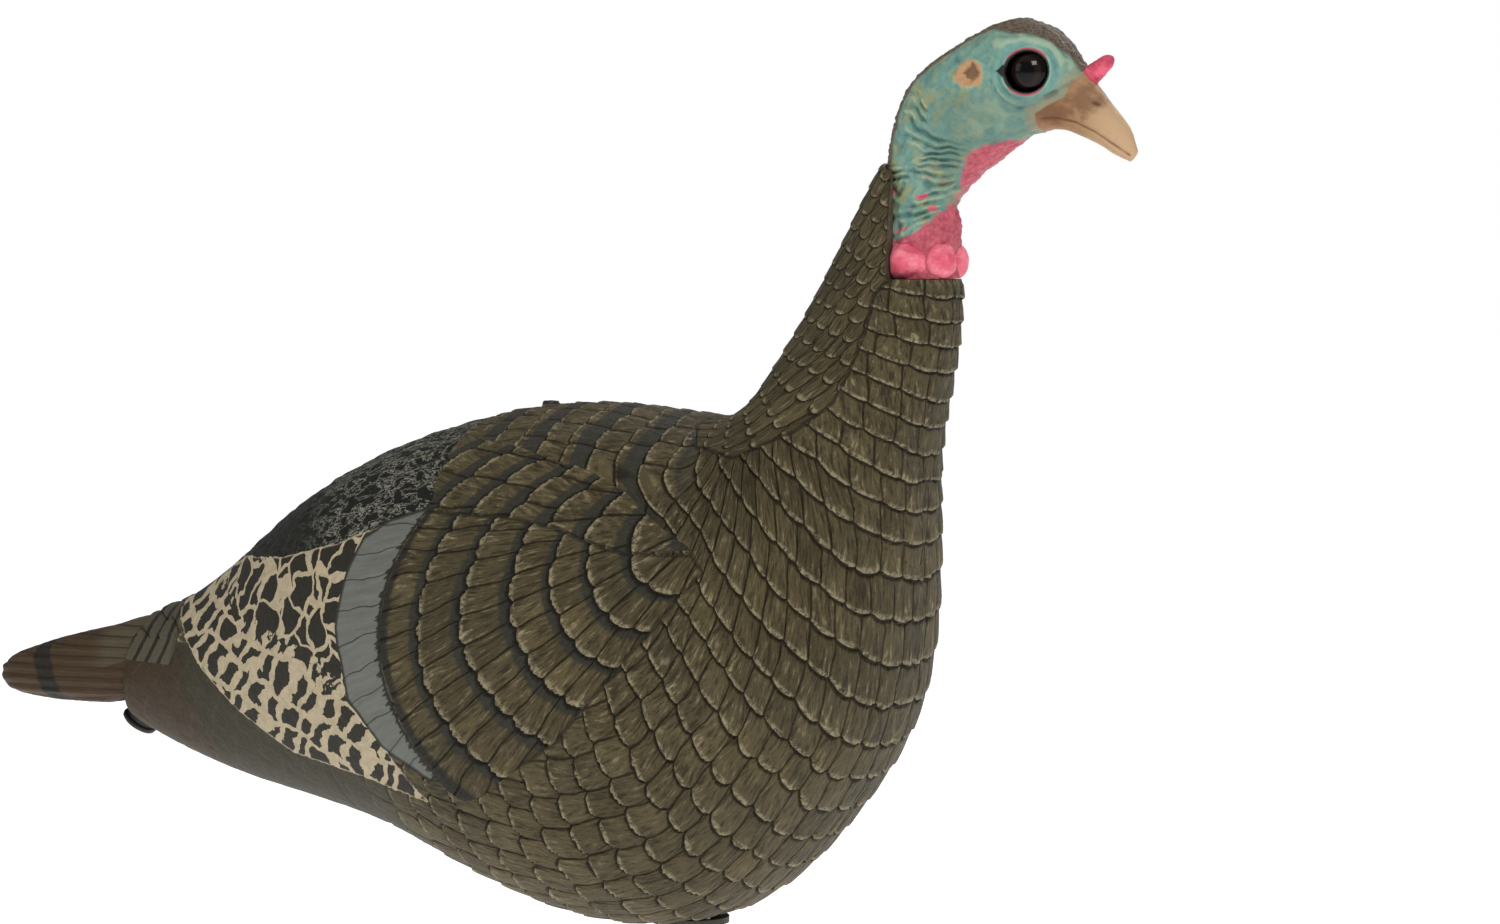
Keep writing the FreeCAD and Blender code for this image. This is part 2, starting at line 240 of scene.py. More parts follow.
def make_piece(name, points, faces, body, material, attributes=None):
    """A mesh piece from points in millimetres, with named numbers or vectors at its vertices."""
    mesh = bpy.data.meshes.new(name)
    points = np.asarray(points, float)
    faces = np.asarray(faces)
    mesh.vertices.add(len(points))
    mesh.vertices.foreach_set("co", (points * MM).astype(np.float32).ravel())
    mesh.loops.add(faces.size)
    mesh.loops.foreach_set("vertex_index", faces.astype(np.int32).ravel())
    mesh.polygons.add(len(faces))
    mesh.polygons.foreach_set("loop_start", np.arange(0, faces.size, faces.shape[1], dtype=np.int32))
    mesh.update(calc_edges=True)
    mesh.validate()
    mesh.polygons.foreach_set("use_smooth", np.full(len(mesh.polygons), True))
    for key, values in (attributes or {}).items():
        values = np.asarray(values, np.float32)
        kind = "FLOAT_VECTOR" if values.ndim == 2 else "FLOAT"
        layer = mesh.attributes.new(key, kind, "POINT")
        layer.data.foreach_set("vector" if values.ndim == 2 else "value", values.ravel())
    mesh.materials.append(material)
    piece = bpy.data.objects.new(name, mesh)
    bpy.context.scene.collection.objects.link(piece)
    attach(piece, body)
    return piece


# ---- formulas that work on numpy arrays and on shader values alike


class Value:
    """A number worked out by a shader. Arithmetic on it adds nodes."""

    def __init__(self, shader, socket):
        self.shader = shader
        self.socket = socket


def give_operator(name, operation):
    """Lets Value take an arithmetic operator, from either side."""
    setattr(Value, f"__{name}__", lambda a, b: a.shader.math(operation, a, b))
    setattr(Value, f"__r{name}__", lambda a, b: a.shader.math(operation, b, a))


give_operator("add", "ADD")
give_operator("sub", "SUBTRACT")
give_operator("mul", "MULTIPLY")
give_operator("truediv", "DIVIDE")
give_operator("pow", "POWER")


def either(operation, on_arrays):
    """A function that adds a shader's math node for a Value, and works on arrays otherwise."""
    return lambda a, *b: a.shader.math(operation, a, *b) if isinstance(a, Value) else on_arrays(a, *b)


floor = either("FLOOR", np.floor)
absolute = either("ABSOLUTE", np.abs)
sine = either("SINE", np.sin)
least = either("MINIMUM", np.minimum)
most = either("MAXIMUM", np.maximum)
over = either("GREATER_THAN", lambda v, limit: (v > limit).astype(float))


def ease(low, high, v):
    """0 up to low, 1 from high, smooth between; low may be over high."""
    t = least(most((v - low) * (1.0 / (high - low)), 0.0), 1.0)
    return t * t * (3.0 - 2.0 * t)


def pick(mask, a, b):
    """b where the mask is 1, a where it is 0."""
    return a + (b - a) * mask


def feather_tiles(row, column, row_columns, lap):
    """Overlapping feather tips.

    row grows by 1 from one row of tips to the next, toward the tips. Row n has its columns at
    column * (row_columns[0] + n * row_columns[1]). lap is how far a rounded tip reaches over the next row.
    Returns how far along its feather each place is (0 base to 1 tip), how far across it (-1 to 1), the
    distance beyond the last tip's edge (in rows), and the feather's row and column numbers.
    """
    here = floor(row)
    along = row - here

    def across(n):
        shift = 0.25 * sine(n * 2.4) + 0.5 * (n - 2.0 * floor(n * 0.5))
        place = column * (n * row_columns[1] + row_columns[0]) + shift
        return floor(place), 2.0 * (place - floor(place)) - 1.0

    before_number, before_side = across(here - 1.0)
    number, side = across(here)
    reach = lap * (1.0 - absolute(before_side) ** 3.0)
    covered = over(reach - along, 0.0)
    beyond = absolute(along - reach) + 9.0 * covered
    s = pick(covered, along, along + 1.0) * (1.0 / (1.0 + lap))
    return (
        s,
        pick(covered, side, before_side),
        beyond,
        pick(covered, here, here - 1.0),
        pick(covered, number, before_number),
    )


def tile_height(s, t, beyond):
    """Height of a feather tile, 0 to 1: it rises to its tip, with a groove down each side."""
    rise = (0.25 + 0.75 * s) * (1.0 - 0.45 * ease(0.82, 1.0, absolute(t)))
    return rise - 0.12 * absolute(t) ** 2.0 - 0.25 * ease(0.14, 0.0, beyond)


# ---- shaders


class Shader:
    def __init__(self, name):
        self.material = bpy.data.materials.new(name)
        self.material.use_nodes = True
        self.tree = self.material.node_tree
        self.surface = self.tree.nodes["Principled BSDF"]

    def plug(self, socket, value):
        if isinstance(value, Value):
            self.tree.links.new(value.socket, socket)
        else:
            socket.default_value = value

    def node(self, kind, **settings):
        node = self.tree.nodes.new(kind)
        for key, value in settings.items():
            setattr(node, key, value)
        return node

    def math(self, operation, *values):
        node = self.node("ShaderNodeMath", operation=operation)
        for socket, value in zip(node.inputs, values):
            self.plug(socket, value)
        return Value(self, node.outputs[0])

    def numbers(self, name):
        """The three numbers of a vector attribute."""
        source = self.node("ShaderNodeAttribute", attribute_name=name)
        parts = self.node("ShaderNodeSeparateXYZ")
        self.tree.links.new(source.outputs["Vector"], parts.inputs[0])
        return [Value(self, socket) for socket in parts.outputs]

    def place(self):
        """Where the surface is on the object at rest, in millimetres."""
        source = self.node("ShaderNodeTexCoord")
        parts = self.node("ShaderNodeSeparateXYZ")
        self.tree.links.new(source.outputs["Object"], parts.inputs[0])
        return [Value(self, socket) * 1000.0 for socket in parts.outputs]

    def vector(self, x, y, z=0.0):
        node = self.node("ShaderNodeCombineXYZ")
        for socket, value in zip(node.inputs, (x, y, z)):
            self.plug(socket, value)
        return Value(self, node.outputs[0])

    def noise(self, x, y, z=0.0, detail=2.0, roughness=0.5):
        """Noise from 0 to 1 that changes over about 1 in each direction."""
        node = self.node("ShaderNodeTexNoise")
        self.plug(node.inputs["Vector"], self.vector(x, y, z))
        node.inputs["Scale"].default_value = 1.0
        node.inputs["Detail"].default_value = detail
        node.inputs["Roughness"].default_value = roughness
        return Value(self, node.outputs["Fac"])

    def grain(self, place, scale, detail=2.0, roughness=0.5):
        """Noise of one scale in all directions."""
        return self.noise(*(v * scale for v in place), detail, roughness)

    def cells(self, x, y, z=0.0, randomness=1.0):
        """Distance to the nearest edge between cells about 1 across."""
        node = self.node("ShaderNodeTexVoronoi", feature="DISTANCE_TO_EDGE")
        self.plug(node.inputs["Vector"], self.vector(x, y, z))
        node.inputs["Scale"].default_value = 1.0
        node.inputs["Randomness"].default_value = randomness
        return Value(self, node.outputs["Distance"])

    def random(self, x, y, z=0.0):
        node = self.node("ShaderNodeTexWhiteNoise")
        self.plug(node.inputs["Vector"], self.vector(x, y, z))
        return Value(self, node.outputs["Value"])

    def mix(self, amount, first, second):
        """A colour between two, each a colour value or 0 to 255 screen values."""
        node = self.node("ShaderNodeMix", data_type="RGBA")
        self.plug(node.inputs[0], amount)
        for socket, colour in ((node.inputs[6], first), (node.inputs[7], second)):
            self.plug(socket, colour if isinstance(colour, Value) else (*linear(*colour), 1.0))
        return Value(self, node.outputs[2])

    def finish(self, colour, roughness, height=None, depth_mm=1.0, **extra):
        """Sets the surface. height is in units of depth_mm."""
        self.plug(self.surface.inputs["Base Color"], colour if isinstance(colour, Value) else (*colour, 1.0))
        self.plug(self.surface.inputs["Roughness"], roughness)
        for name, value in extra.items():
            self.plug(self.surface.inputs[name.replace("_", " ")], value)
        if height is not None:
            bump = self.node("ShaderNodeBump")
            bump.inputs["Distance"].default_value = depth_mm * MM
            self.plug(bump.inputs["Height"], height)
            self.tree.links.new(bump.outputs[0], self.surface.inputs["Normal"])
        return self.material


def linear(*screen):
    """A shader's colour from 0 to 255 screen values."""
    return tuple((c / 255.0 / 12.92) if c <= 10 else ((c / 255.0 + 0.055) / 1.055) ** 2.4 for c in screen)


# ---- body: the fan of planes and the feather tracts

# Each: top point (x, z), bottom point (x, z). They fan out where the back turns up into the neck.
BODY_PLANES = [
    (-303, 341, -312, 285),
    (-280, 349, -284, 274),
    (-246, 370, -246, 262),
    (-205, 401, -200, 252),
    (-158, 427, -148, 239),
    (-100, 445, -90, 216),
    (-48, 451, -30, 201),
    (-8, 448, 32, 212),
    (16, 446, 76, 251),
    (30, 448, 106, 296),
    (39, 454, 118, 345),
    (46, 462, 122, 392),
    (53, 474, 125, 430),
    (64, 493, 133, 465),
    (78, 519, 138, 494),
    (92, 546, 139, 521),
    (104, 568, 140, 548),
]
COLLAR_Z, COLLAR_X = 513.5, 114.0
POCKET = (122.0, 17.6, 19.6)  # the neck's oval pocket: centre x, half length, half width
BELLY_HOLE_R = 19.0
VENT_SEAT, VENT_AXIS, VENT_HOLE_R = np.array([-312.0, 0, 289.0]), np.array([-0.6, 0, -0.8]), 8.5
BACK_PLUG_X, BACK_PLUG_Z, BACK_HOLE_R = -76.0, 448.4, 4.0

# Feather tract outlines, seen from the side: (x, z).
NECK_TRACT = [
    (92, 600), (122, 590), (120, 516), (111, 506), (107, 488), (101, 470), (95, 456), (80, 442), (52, 430),
    (28, 434), (8, 452), (40, 500),
]
WING_TRACT = [
    (-103, 402), (-44, 400), (12, 386), (44, 386), (50, 378), (35, 360), (20, 341), (-16, 300), (-64, 269),
    (-160, 240), (-170, 405),
]
SCAPULAR_TRACT = [
    (-100, 436), (-64, 433), (-17, 422), (6, 412), (30, 396), (44, 388), (12, 386), (-44, 400), (-103, 402),
]
RUMP_EDGE = [(-150, 385), (-190, 376), (-221, 374), (-246, 372)]  # shared with the cream feathers
RUMP_TRACT = [
    (-96, 460), (-101, 426), (-97, 408), (-103, 401), (-134, 391), *RUMP_EDGE, (-260, 375), (-270, 460),
]
CREAM_TRACT = [
    (-125, 394), *RUMP_EDGE, (-284, 356), (-268, 341), (-246, 321), (-217, 300), (-183, 281), (-133, 272),
    (-90, 262), (-100, 330),
]
CRESCENT_LIMIT = [
    (-66, 279), (-92, 274), (-119, 290), (-137, 312), (-144, 346), (-140, 372), (-134, 389), (-118, 398),
    (-96, 404), (-84, 396), (-85, 330),
]

WING_CENTRE, WING_SHIFT = (38.0, 392.0), (-57.0, -45.0)
WING_R, WING_GROW = 22.0, 74.0
WING_DEPTH = 140.0  # from share 0 of the wing to share 1, toward the rear
WING_ROWS = [0.0, 0.15, 0.29, 0.45, 0.63, 0.82, 1.0, 1.25]  # each row of tips, as a share of the wing
POLE = (-91.0, 570.0)  # the breast's rows of feathers fan out from here
ROW_ANGLE = math.radians(2.75)
FEATHER_WIDTH = 17.2  # of the breast and back feathers


def line_distance(line, x, z):
    """Distance from each place to a line of points, seen from the side."""
    p = np.stack([x, z], axis=1)
    nearest = np.full(len(x), 1e9)
    for a, b in zip(np.asarray(line, float), np.asarray(line[1:], float)):
        edge = b - a
        t = np.clip(((p - a) @ edge) / (edge @ edge), 0, 1)
        nearest = np.minimum(nearest, np.linalg.norm(p - a - t[:, None] * edge, axis=1))
    return nearest


def outline_distance(outline, x, z):
    """Distance in from a closed outline: over 0 inside."""
    ends = np.asarray(outline, float)
    nearest = line_distance([*outline, outline[0]], x, z)
    inside = np.zeros(len(x), bool)
    for a, b in zip(ends, np.roll(ends, -1, axis=0)):
        edge = b - a
        crosses = (a[1] > z) != (b[1] > z)
        with np.errstate(divide="ignore", invalid="ignore"):
            at = a[0] + (z - a[1]) * edge[0] / edge[1] if edge[1] else a[0]
        inside ^= crosses & (x < at)
    return np.where(inside, nearest, -nearest)


def wing_share(x, z):
    """Which circle of the wing's growing, shifting family passes through each place: 0 inmost, 1 outmost."""
    qx, qz = x - WING_CENTRE[0], z - WING_CENTRE[1]
    a = WING_SHIFT[0] ** 2 + WING_SHIFT[1] ** 2 - WING_GROW**2
    b = qx * WING_SHIFT[0] + qz * WING_SHIFT[1] + WING_R * WING_GROW
    c = qx**2 + qz**2 - WING_R**2
    return (b - np.sqrt(np.maximum(b * b - a * c, 0.0))) / a


def body_fields(points, back_run, girth_run, girth_left):
    """The feather rows and columns of each tract, and how deep each place is in each tract."""
    x, y, z = points.T
    wob = 2.2 * noise(points, 26.0, 11) + 1.0 * noise(points, 11.0, 12)
    wob2 = 2.4 * noise(points, 22.0, 13) + 1.0 * noise(points, 9.0, 14)
    # breast and back
    angle = np.arctan2(x - POLE[0], POLE[1] - z)
    on_back = smoothstep(395, 428, z) * smoothstep(58, 14, x)
    breast_row = -angle / ROW_ANGLE
    back_row = -(math.atan2(111, 140) / ROW_ANGLE) - (x - 20) / 13.5
    row = breast_row + (back_row - breast_row) * on_back + wob / 14.0
    across = 25 * FEATHER_WIDTH - girth_left
    column = across + (girth_run + 125 - across) * on_back + wob2
    # wing
    share = np.clip(wing_share(x, z), -0.5, 1.6)
    centre_x = WING_CENTRE[0] + share * WING_SHIFT[0]
    centre_z = WING_CENTRE[1] + share * WING_SHIFT[1]
    wing_angle = np.arctan2(z - centre_z, -(x - centre_x)) + wob2 / 90.0
    rows_at = np.asarray(WING_ROWS)
    wing_row = np.interp(share, rows_at, np.arange(len(rows_at))) + np.minimum(share, 0) * 4 + wob / 24.0
    # neck
    neck_row = -back_run / 9.5 + wob / 12.0
    wing_depth = outline_distance(WING_TRACT, x, z) + 0.4 * wob
    crescent_end = 1.28 - 0.15 * smoothstep(300, 262, z)
    crescent = np.minimum(share - 1.0, crescent_end - share) * WING_DEPTH
    crescent = np.minimum(crescent, outline_distance(CRESCENT_LIMIT, x, z) + 0.5 * wob)
    cream = np.minimum(outline_distance(CREAM_TRACT, x, z), (share - 1.12) * WING_DEPTH)
    shoulder_depth = outline_distance(SCAPULAR_TRACT, x, z) + 0.3 * wob
    neck_depth = outline_distance(NECK_TRACT, x, z) + 0.5 * wob
    fields = {
        "body_tract": (row, column, back_run),
        "wing_tract": (wing_row, wing_angle, wing_depth),
        "shoulder_tract": (share, wing_angle, shoulder_depth),
        "neck_tract": (neck_row, girth_run + 0.6 * wob2, neck_depth),
        "zones": (crescent, cream, outline_distance(RUMP_TRACT, x, z)),
    }
    return {name: np.stack(values, axis=1) for name, values in fields.items()}


def body_pattern(body, wing, shoulder, neck, height):
    """The feather pattern over the whole body: see feather_tiles. Each tract holds three numbers."""
    in_wing = over(wing[2], 0.0) * over(6.0 - wing[0], 0.0)
    in_neck = over(neck[2], 0.0)
    in_shoulder = over(shoulder[2], 0.0) * (1.0 - in_neck)
    row = pick(in_shoulder, body[0], shoulder[0] * 5.2)
    row = pick(in_neck, pick(in_wing, row, wing[0]), neck[0])
    column = pick(in_neck, pick(most(in_wing, in_shoulder), body[1], wing[1]), neck[1])
    base = pick(in_neck, pick(in_wing, pick(in_shoulder, 1 / FEATHER_WIDTH + 0.0 * row, 1.8), 2.3), 0.115)
    grow = pick(in_wing, pick(in_shoulder, 0.0 * row, 0.75), 0.95) * (1.0 - in_neck)
    low = ease(330.0, 270.0, height)
    lap = pick(in_neck, pick(in_wing, 0.09 + 0.16 * low, 0.10), 0.42)
    s, t, beyond, row_number, column_number = feather_tiles(row, column, (base, grow), lap)
    return {
        "s": s, "t": t, "beyond": beyond, "row": row_number, "column": column_number,
        "in_wing": in_wing, "in_neck": in_neck, "in_shoulder": in_shoulder,
    }


def seam(depth):
    """1 on a tract's edge, fading to 0 about 1.5 mm away."""
    return ease(1.5, 0.3, absolute(depth))


def from_axis(points, seat, axis):
    """Heights along an axis, and the offsets from it at right angles."""
    off = points - seat
    height = off @ axis
    return height, off - height[..., None] * axis


def body_surface():
    """The right half of the body: points, normals, faces, and runs along the back and down each side."""
    tree = tree_of(["body_shell_right", "body_shell_left"])

    def not_skin(p):
        pocket = ((p.x - POCKET[0]) / POCKET[1]) ** 2 + (p.y / POCKET[2]) ** 2
        in_pocket = pocket < 1.01 and p.z > COLLAR_Z - 0.5
        in_front = p.x > COLLAR_X - 0.2 and p.z > COLLAR_Z - 0.2
        in_belly = math.hypot(p.x, p.y) < BELLY_HOLE_R + 1 and p.z < 300
        from_vent = np.linalg.norm(from_axis(np.array(p), VENT_SEAT, VENT_AXIS)[1])
        in_vent = from_vent < VENT_HOLE_R + 1 and p.x < -270
        in_back = math.hypot(p.x - BACK_PLUG_X, p.y) < BACK_HOLE_R + 0.7 and p.z > 400
        return in_pocket or in_front or in_belly or in_vent or in_back

    guide = along_curve(BODY_PLANES, 2000)
    steps = np.maximum(step_lengths(guide[:, :2]), step_lengths(guide[:, 2:]))
    run = np.concatenate([[0], np.cumsum(steps)])
    count = int(run[-1] / SPACING)
    planes = resample(guide, run, np.linspace(0, run[-1], count))
    back = run_along(planes[:, :2])
    rows, runs = half_rows(tree, planes, SPACING, not_skin)
    counts = [len(row) for row in rows]
    faces = stitch(counts)
    points = np.vstack(rows)
    back_run = np.repeat(back, counts)
    girth_run = np.concatenate(runs)
    girth_left = np.concatenate([run[-1] - run for run in runs])
    normals = normals_of(points, faces)
    middle = np.abs(points[:, 1]) < 1e-3
    points[middle, 1] = 0.0
    normals[middle, 1] = 0.0
    normals /= np.linalg.norm(normals, axis=1, keepdims=True)
    inward = (normals * (points - [0, 0, 330])).sum(axis=1).mean() < 0
    if inward:
        faces = faces[:, ::-1]
        normals = -normals
    return points, normals, faces, (back_run, girth_run, girth_left)


def cut_back(points, faces, inside, onto):
    """Drops the faces inside a region and pulls the ends of those that cross into it onto its edge."""
    keep = ~inside[faces].all(axis=1)
    points = points.copy()
    points[inside] = onto(points[inside])
    return points, faces[keep]


def open_edges(points, faces):
    """Opens the layer at the collar and round the bushing and the plugs."""
    x, y, z = points.T

    def to_collar(p):
        p = p.copy()
        side = (p[:, 0] - COLLAR_X) < (p[:, 2] - COLLAR_Z)
        p[side, 0] = COLLAR_X
        p[~side, 2] = COLLAR_Z
        return p

    points, faces = cut_back(points, faces, (x > COLLAR_X) & (z > COLLAR_Z), to_collar)
    round_holes = [
        (np.array([0.0, 0, 200]), np.array([0.0, 0, -1]), BELLY_HOLE_R + 0.3, 40),
        (VENT_SEAT, VENT_AXIS, VENT_HOLE_R + 0.1, 30),
        (np.array([BACK_PLUG_X, 0.0, 450]), np.array([0.0, 0, 1]), BACK_HOLE_R + 0.3, 30),
    ]
    for centre, axis, radius, near in round_holes:
        height, flat = from_axis(points, centre, axis)
        inside = (np.linalg.norm(flat, axis=1) < radius) & (np.abs(height) < near)

        def to_rim(p, centre=centre, axis=axis, radius=radius):
            height, flat = from_axis(p, centre, axis)
            stretch = radius / np.maximum(np.linalg.norm(flat, axis=1), 1e-3)
            return centre + height[:, None] * axis + flat * stretch[:, None]

        points, faces = cut_back(points, faces, inside, to_rim)
    return points, faces


def edge_fade(points, back_run):
    """1 over the body, falling to 0 at the layer's open edges."""
    x, y, z = points.T
    collar = np.maximum(COLLAR_X - x, COLLAR_Z - z)
    fade = smoothstep(0.0, 3.0, collar)
    fade *= smoothstep(0.0, 4.0, np.hypot(x, y) - BELLY_HOLE_R) * (z < 260) + (z >= 260)
    away = np.linalg.norm(from_axis(points, VENT_SEAT, VENT_AXIS)[1], axis=1)
    fade *= np.where(x < -270, smoothstep(0.0, 3.0, away - VENT_HOLE_R), 1.0)
    fade *= np.where(z > 400, smoothstep(0.0, 2.0, np.hypot(x - BACK_PLUG_X, y) - BACK_HOLE_R), 1.0)
    return fade * smoothstep(0.0, 4.0, back_run) * smoothstep(0.0, 2.0, back_run.max() - back_run)


def body_relief(points, fields, pattern):
    """Height of the moulded plumage over the shell, in mm."""
    x, y, z = points.T
    crescent, cream, rump = fields["zones"].T
    tiles = tile_height(pattern["s"], pattern["t"], pattern["beyond"])
    deep = np.where(pattern["in_neck"] > 0, 1.3, 2.1)
    deep = np.where(pattern["in_wing"] > 0, 2.2, deep)
    height = tiles * deep
    lumps = 0.5 + 0.5 * noise(points, 3.2, 21)
    height = np.where(rump > 0, 0.5 + 0.5 * lumps + 0.8 * noise(points * [0.7, 1, 1], 6.0, 23), height)
    height = np.where(crescent > 0, 0.9 + 0.1 * lumps, height)
    height = np.where(cream > 0, 0.5 + 0.35 * lumps, height)
    # below the cream feathers the rows fade out toward the tail
    smooth_rear = smoothstep(-95, -150, x) * (z < 330) * (cream < 0) * (crescent < 0)
    height = height + (0.55 + 0.1 * lumps - height) * smooth_rear
    wing_edge = np.where((cream > 0) | (rump > 0), 9, fields["wing_tract"][:, 2])
    height -= 0.35 * most(seam(wing_edge), seam(fields["neck_tract"][:, 2]))
    parting = smoothstep(4.0, 1.5, np.abs(y)) * smoothstep(60, 90, x)
    height = height + (0.8 - height) * 0.7 * parting
    return height + 0.16 * noise(points, 4.0, 22)


def feather_paint(sh, place, pattern, along, fine, speck):
    """Olive feathers with pale barbs, charcoal bands, rims of painted highlight and furrows of painted shade.
    Returns the colour and the barbs.
    """
    x, y, z = place
    s, t = pattern["s"], pattern["t"]
    in_neck, in_shoulder = pattern["in_neck"], pattern["in_shoulder"]
    feather = sh.random(pattern["row"], pattern["column"])
    strands = t * (1.25 - 0.5 * s) * 4.2 + 9.0 * feather
    barbs = sh.noise(strands, along, 7.0 * feather, detail=3.0, roughness=0.65)

    olive = sh.mix(feather, (68, 59, 38), (88, 78, 53))
    olive = sh.mix(ease(0.35, 0.65, sh.grain(place, 0.02, 3.0)) * 0.6, olive, (68, 62, 43))
    worn = ease(0.40, 0.62, speck)
    # pale dry-brushed barbs, made stronger toward the raised feather tips and the top of the body as painted
    # highlight
    top_highlight = ease(250.0, 330.0, z) * (1.0 - in_neck * 0.4)
    light = ease(0.52, 0.70, barbs) * (0.25 + 0.75 * s) * (0.25 + 0.75 * worn) * (0.45 + 0.55 * top_highlight)
    colour = sh.mix(light * 0.85, olive, (154, 142, 112))
    # darker where the barbs are low, the furrows of their bump: painted shade
    colour = sh.mix(ease(0.50, 0.34, barbs) * 0.7, colour, (34, 28, 18))
    # charcoal bands beyond the tips of the wing and back feathers
    band_at = s + 0.16 * (fine - 0.5) + 0.10 * (speck - 0.5)
    back = ease(362.0, 374.0, z + 0.785 * x + 6.0 * (speck - 0.5)) * ease(44.0, 16.0, x)
    odd_row = pattern["row"] - 2.0 * floor(pattern["row"] * 0.5)
    on_wing = most(pattern["in_wing"], in_shoulder)
    wide = pick(on_wing, 0.68 * odd_row, pick(in_shoulder, 0.27, 0.38))
    band = ease(0.06, -0.03, band_at - wide) * most(on_wing, back) * (1.0 - in_neck)
    colour = sh.mix(band * 0.88, colour, sh.mix(fine, (30, 30, 26), (58, 57, 50)))
    # a pale edge on each feather's raised tip: painted highlight
    rim = ease(0.84, 0.95, s) * (1.0 - band)
    return sh.mix(rim * ease(0.40, 0.58, fine) * 0.6, colour, (158, 148, 120)), barbs


def rump_paint(sh, place, fine, speck):
    """Nearly black at the rear, with pale curled flecks further forward.

    Returns the colour and the flecks.
    """
    x, y, z = place
    lift = z * 0.18 + 1.2 * sh.grain(place, 0.02, 3.0)
    fleck = sh.noise(x * 0.13 + 1.8 * speck, y * 0.16, lift)
    curl = most(ease(0.030, 0.008, absolute(fleck - 0.52)), ease(0.026, 0.006, absolute(fleck - 0.43)))
    flecks = curl * (0.08 + 0.92 * ease(-198.0, -155.0, x + 0.5 * (z - 410.0) + 30.0 * (speck - 0.5)))
    flecks = flecks * ease(0.33, 0.45, speck)
    return sh.mix(flecks * 0.75, sh.mix(fine, (7, 8, 5), (26, 27, 21)), (138, 137, 124)), fleck


def crescent_paint(sh, place, wing_angle, share, crescent):
    """Grey with thin dark lines across it. Returns the colour, and the dark band inside it on the wing."""
    x, y, z = place
    spoke = wing_angle * 7.5 + 0.25 * (sh.noise(x * 0.06, z * 0.06) - 0.5)
    cross = absolute(spoke - floor(spoke) - 0.5)
    hairs = sh.noise(wing_angle * 42.0, share * 6.0)
    grey = sh.mix(hairs, (82, 84, 80), (112, 113, 106))
    grey = sh.mix(ease(0.46, 0.49, cross) * 0.9, grey, (46, 46, 43))
    inner = (share - 1.0) * WING_DEPTH
    grey = sh.mix(ease(1.8, 0.4, inner - 3.5 * ease(0.4, 0.7, hairs)) * 0.92, grey, (30, 30, 26))
    grey = sh.mix(ease(2.4, 0.8, crescent) * 0.9, grey, (34, 33, 29))
    return grey, ease(-7.0, -4.0, inner + 3.0 * (hairs - 0.5))


def cream_paint(sh, place, cream, fine, speck):
    """Cream feathers: dark blotches between cream lines above, rows of short dark bars below."""
    x, y, z = place

    def warped(value, seed):
        coarse = sh.noise(x * 0.05, z * 0.05, seed) - 0.5
        return value + 22.0 * coarse + 3.5 * (sh.noise(x * 0.2, z * 0.2, seed - 2.0) - 0.5)

    warp_x, warp_z = warped(x, 3.0), warped(z, 7.0)
    run = warp_x * 0.914 - warp_z * 0.406
    across = warp_x * 0.406 + warp_z * 0.914
    upper = over(across - 233.0 + 20.0 * (speck - 0.5), 0.0)
    blotch = sh.cells(warp_x * 0.080, warp_z * 0.056, randomness=0.8)
    blotches = over(blotch + 0.05 * (fine - 0.5), 0.062) * upper
    strand = across * 0.062
    off_strand = absolute(strand - floor(strand) - 0.5)
    wave = sine(run * 0.56 - across * 0.17 + 2.2 * floor(strand) + 2.0 * (speck - 0.5))
    bars = over(wave + 0.8 * (fine - 0.5), -0.2) * over(0.40 - off_strand + 0.16 * (fine - 0.5), 0.0)
    ink = most(blotches, bars * (1.0 - upper)) * ease(0.3, 1.6, cream + fine)
    pale = sh.mix(fine, (146, 132, 106), (190, 176, 148))
    pale = sh.mix(ease(0.4, 0.7, speck) * 0.35, pale, (124, 118, 100))
    return sh.mix(ink * 0.97, pale, sh.mix(fine, (8, 8, 5), (28, 26, 19)))


def under_tail_paint(sh, place):
    """Plain olive, browner toward the tail's root."""
    x, y, z = place
    streaks = sh.noise(x * 0.05, y * 0.35, z * 0.35, detail=3.0, roughness=0.6)
    olive = sh.mix(streaks, (30, 29, 17), (55, 52, 35))
    brown = sh.mix(streaks, (34, 24, 12), (62, 45, 26))
    return sh.mix(ease(-244.0, -264.0, x + 0.5 * (z - 300.0)), olive, brown)


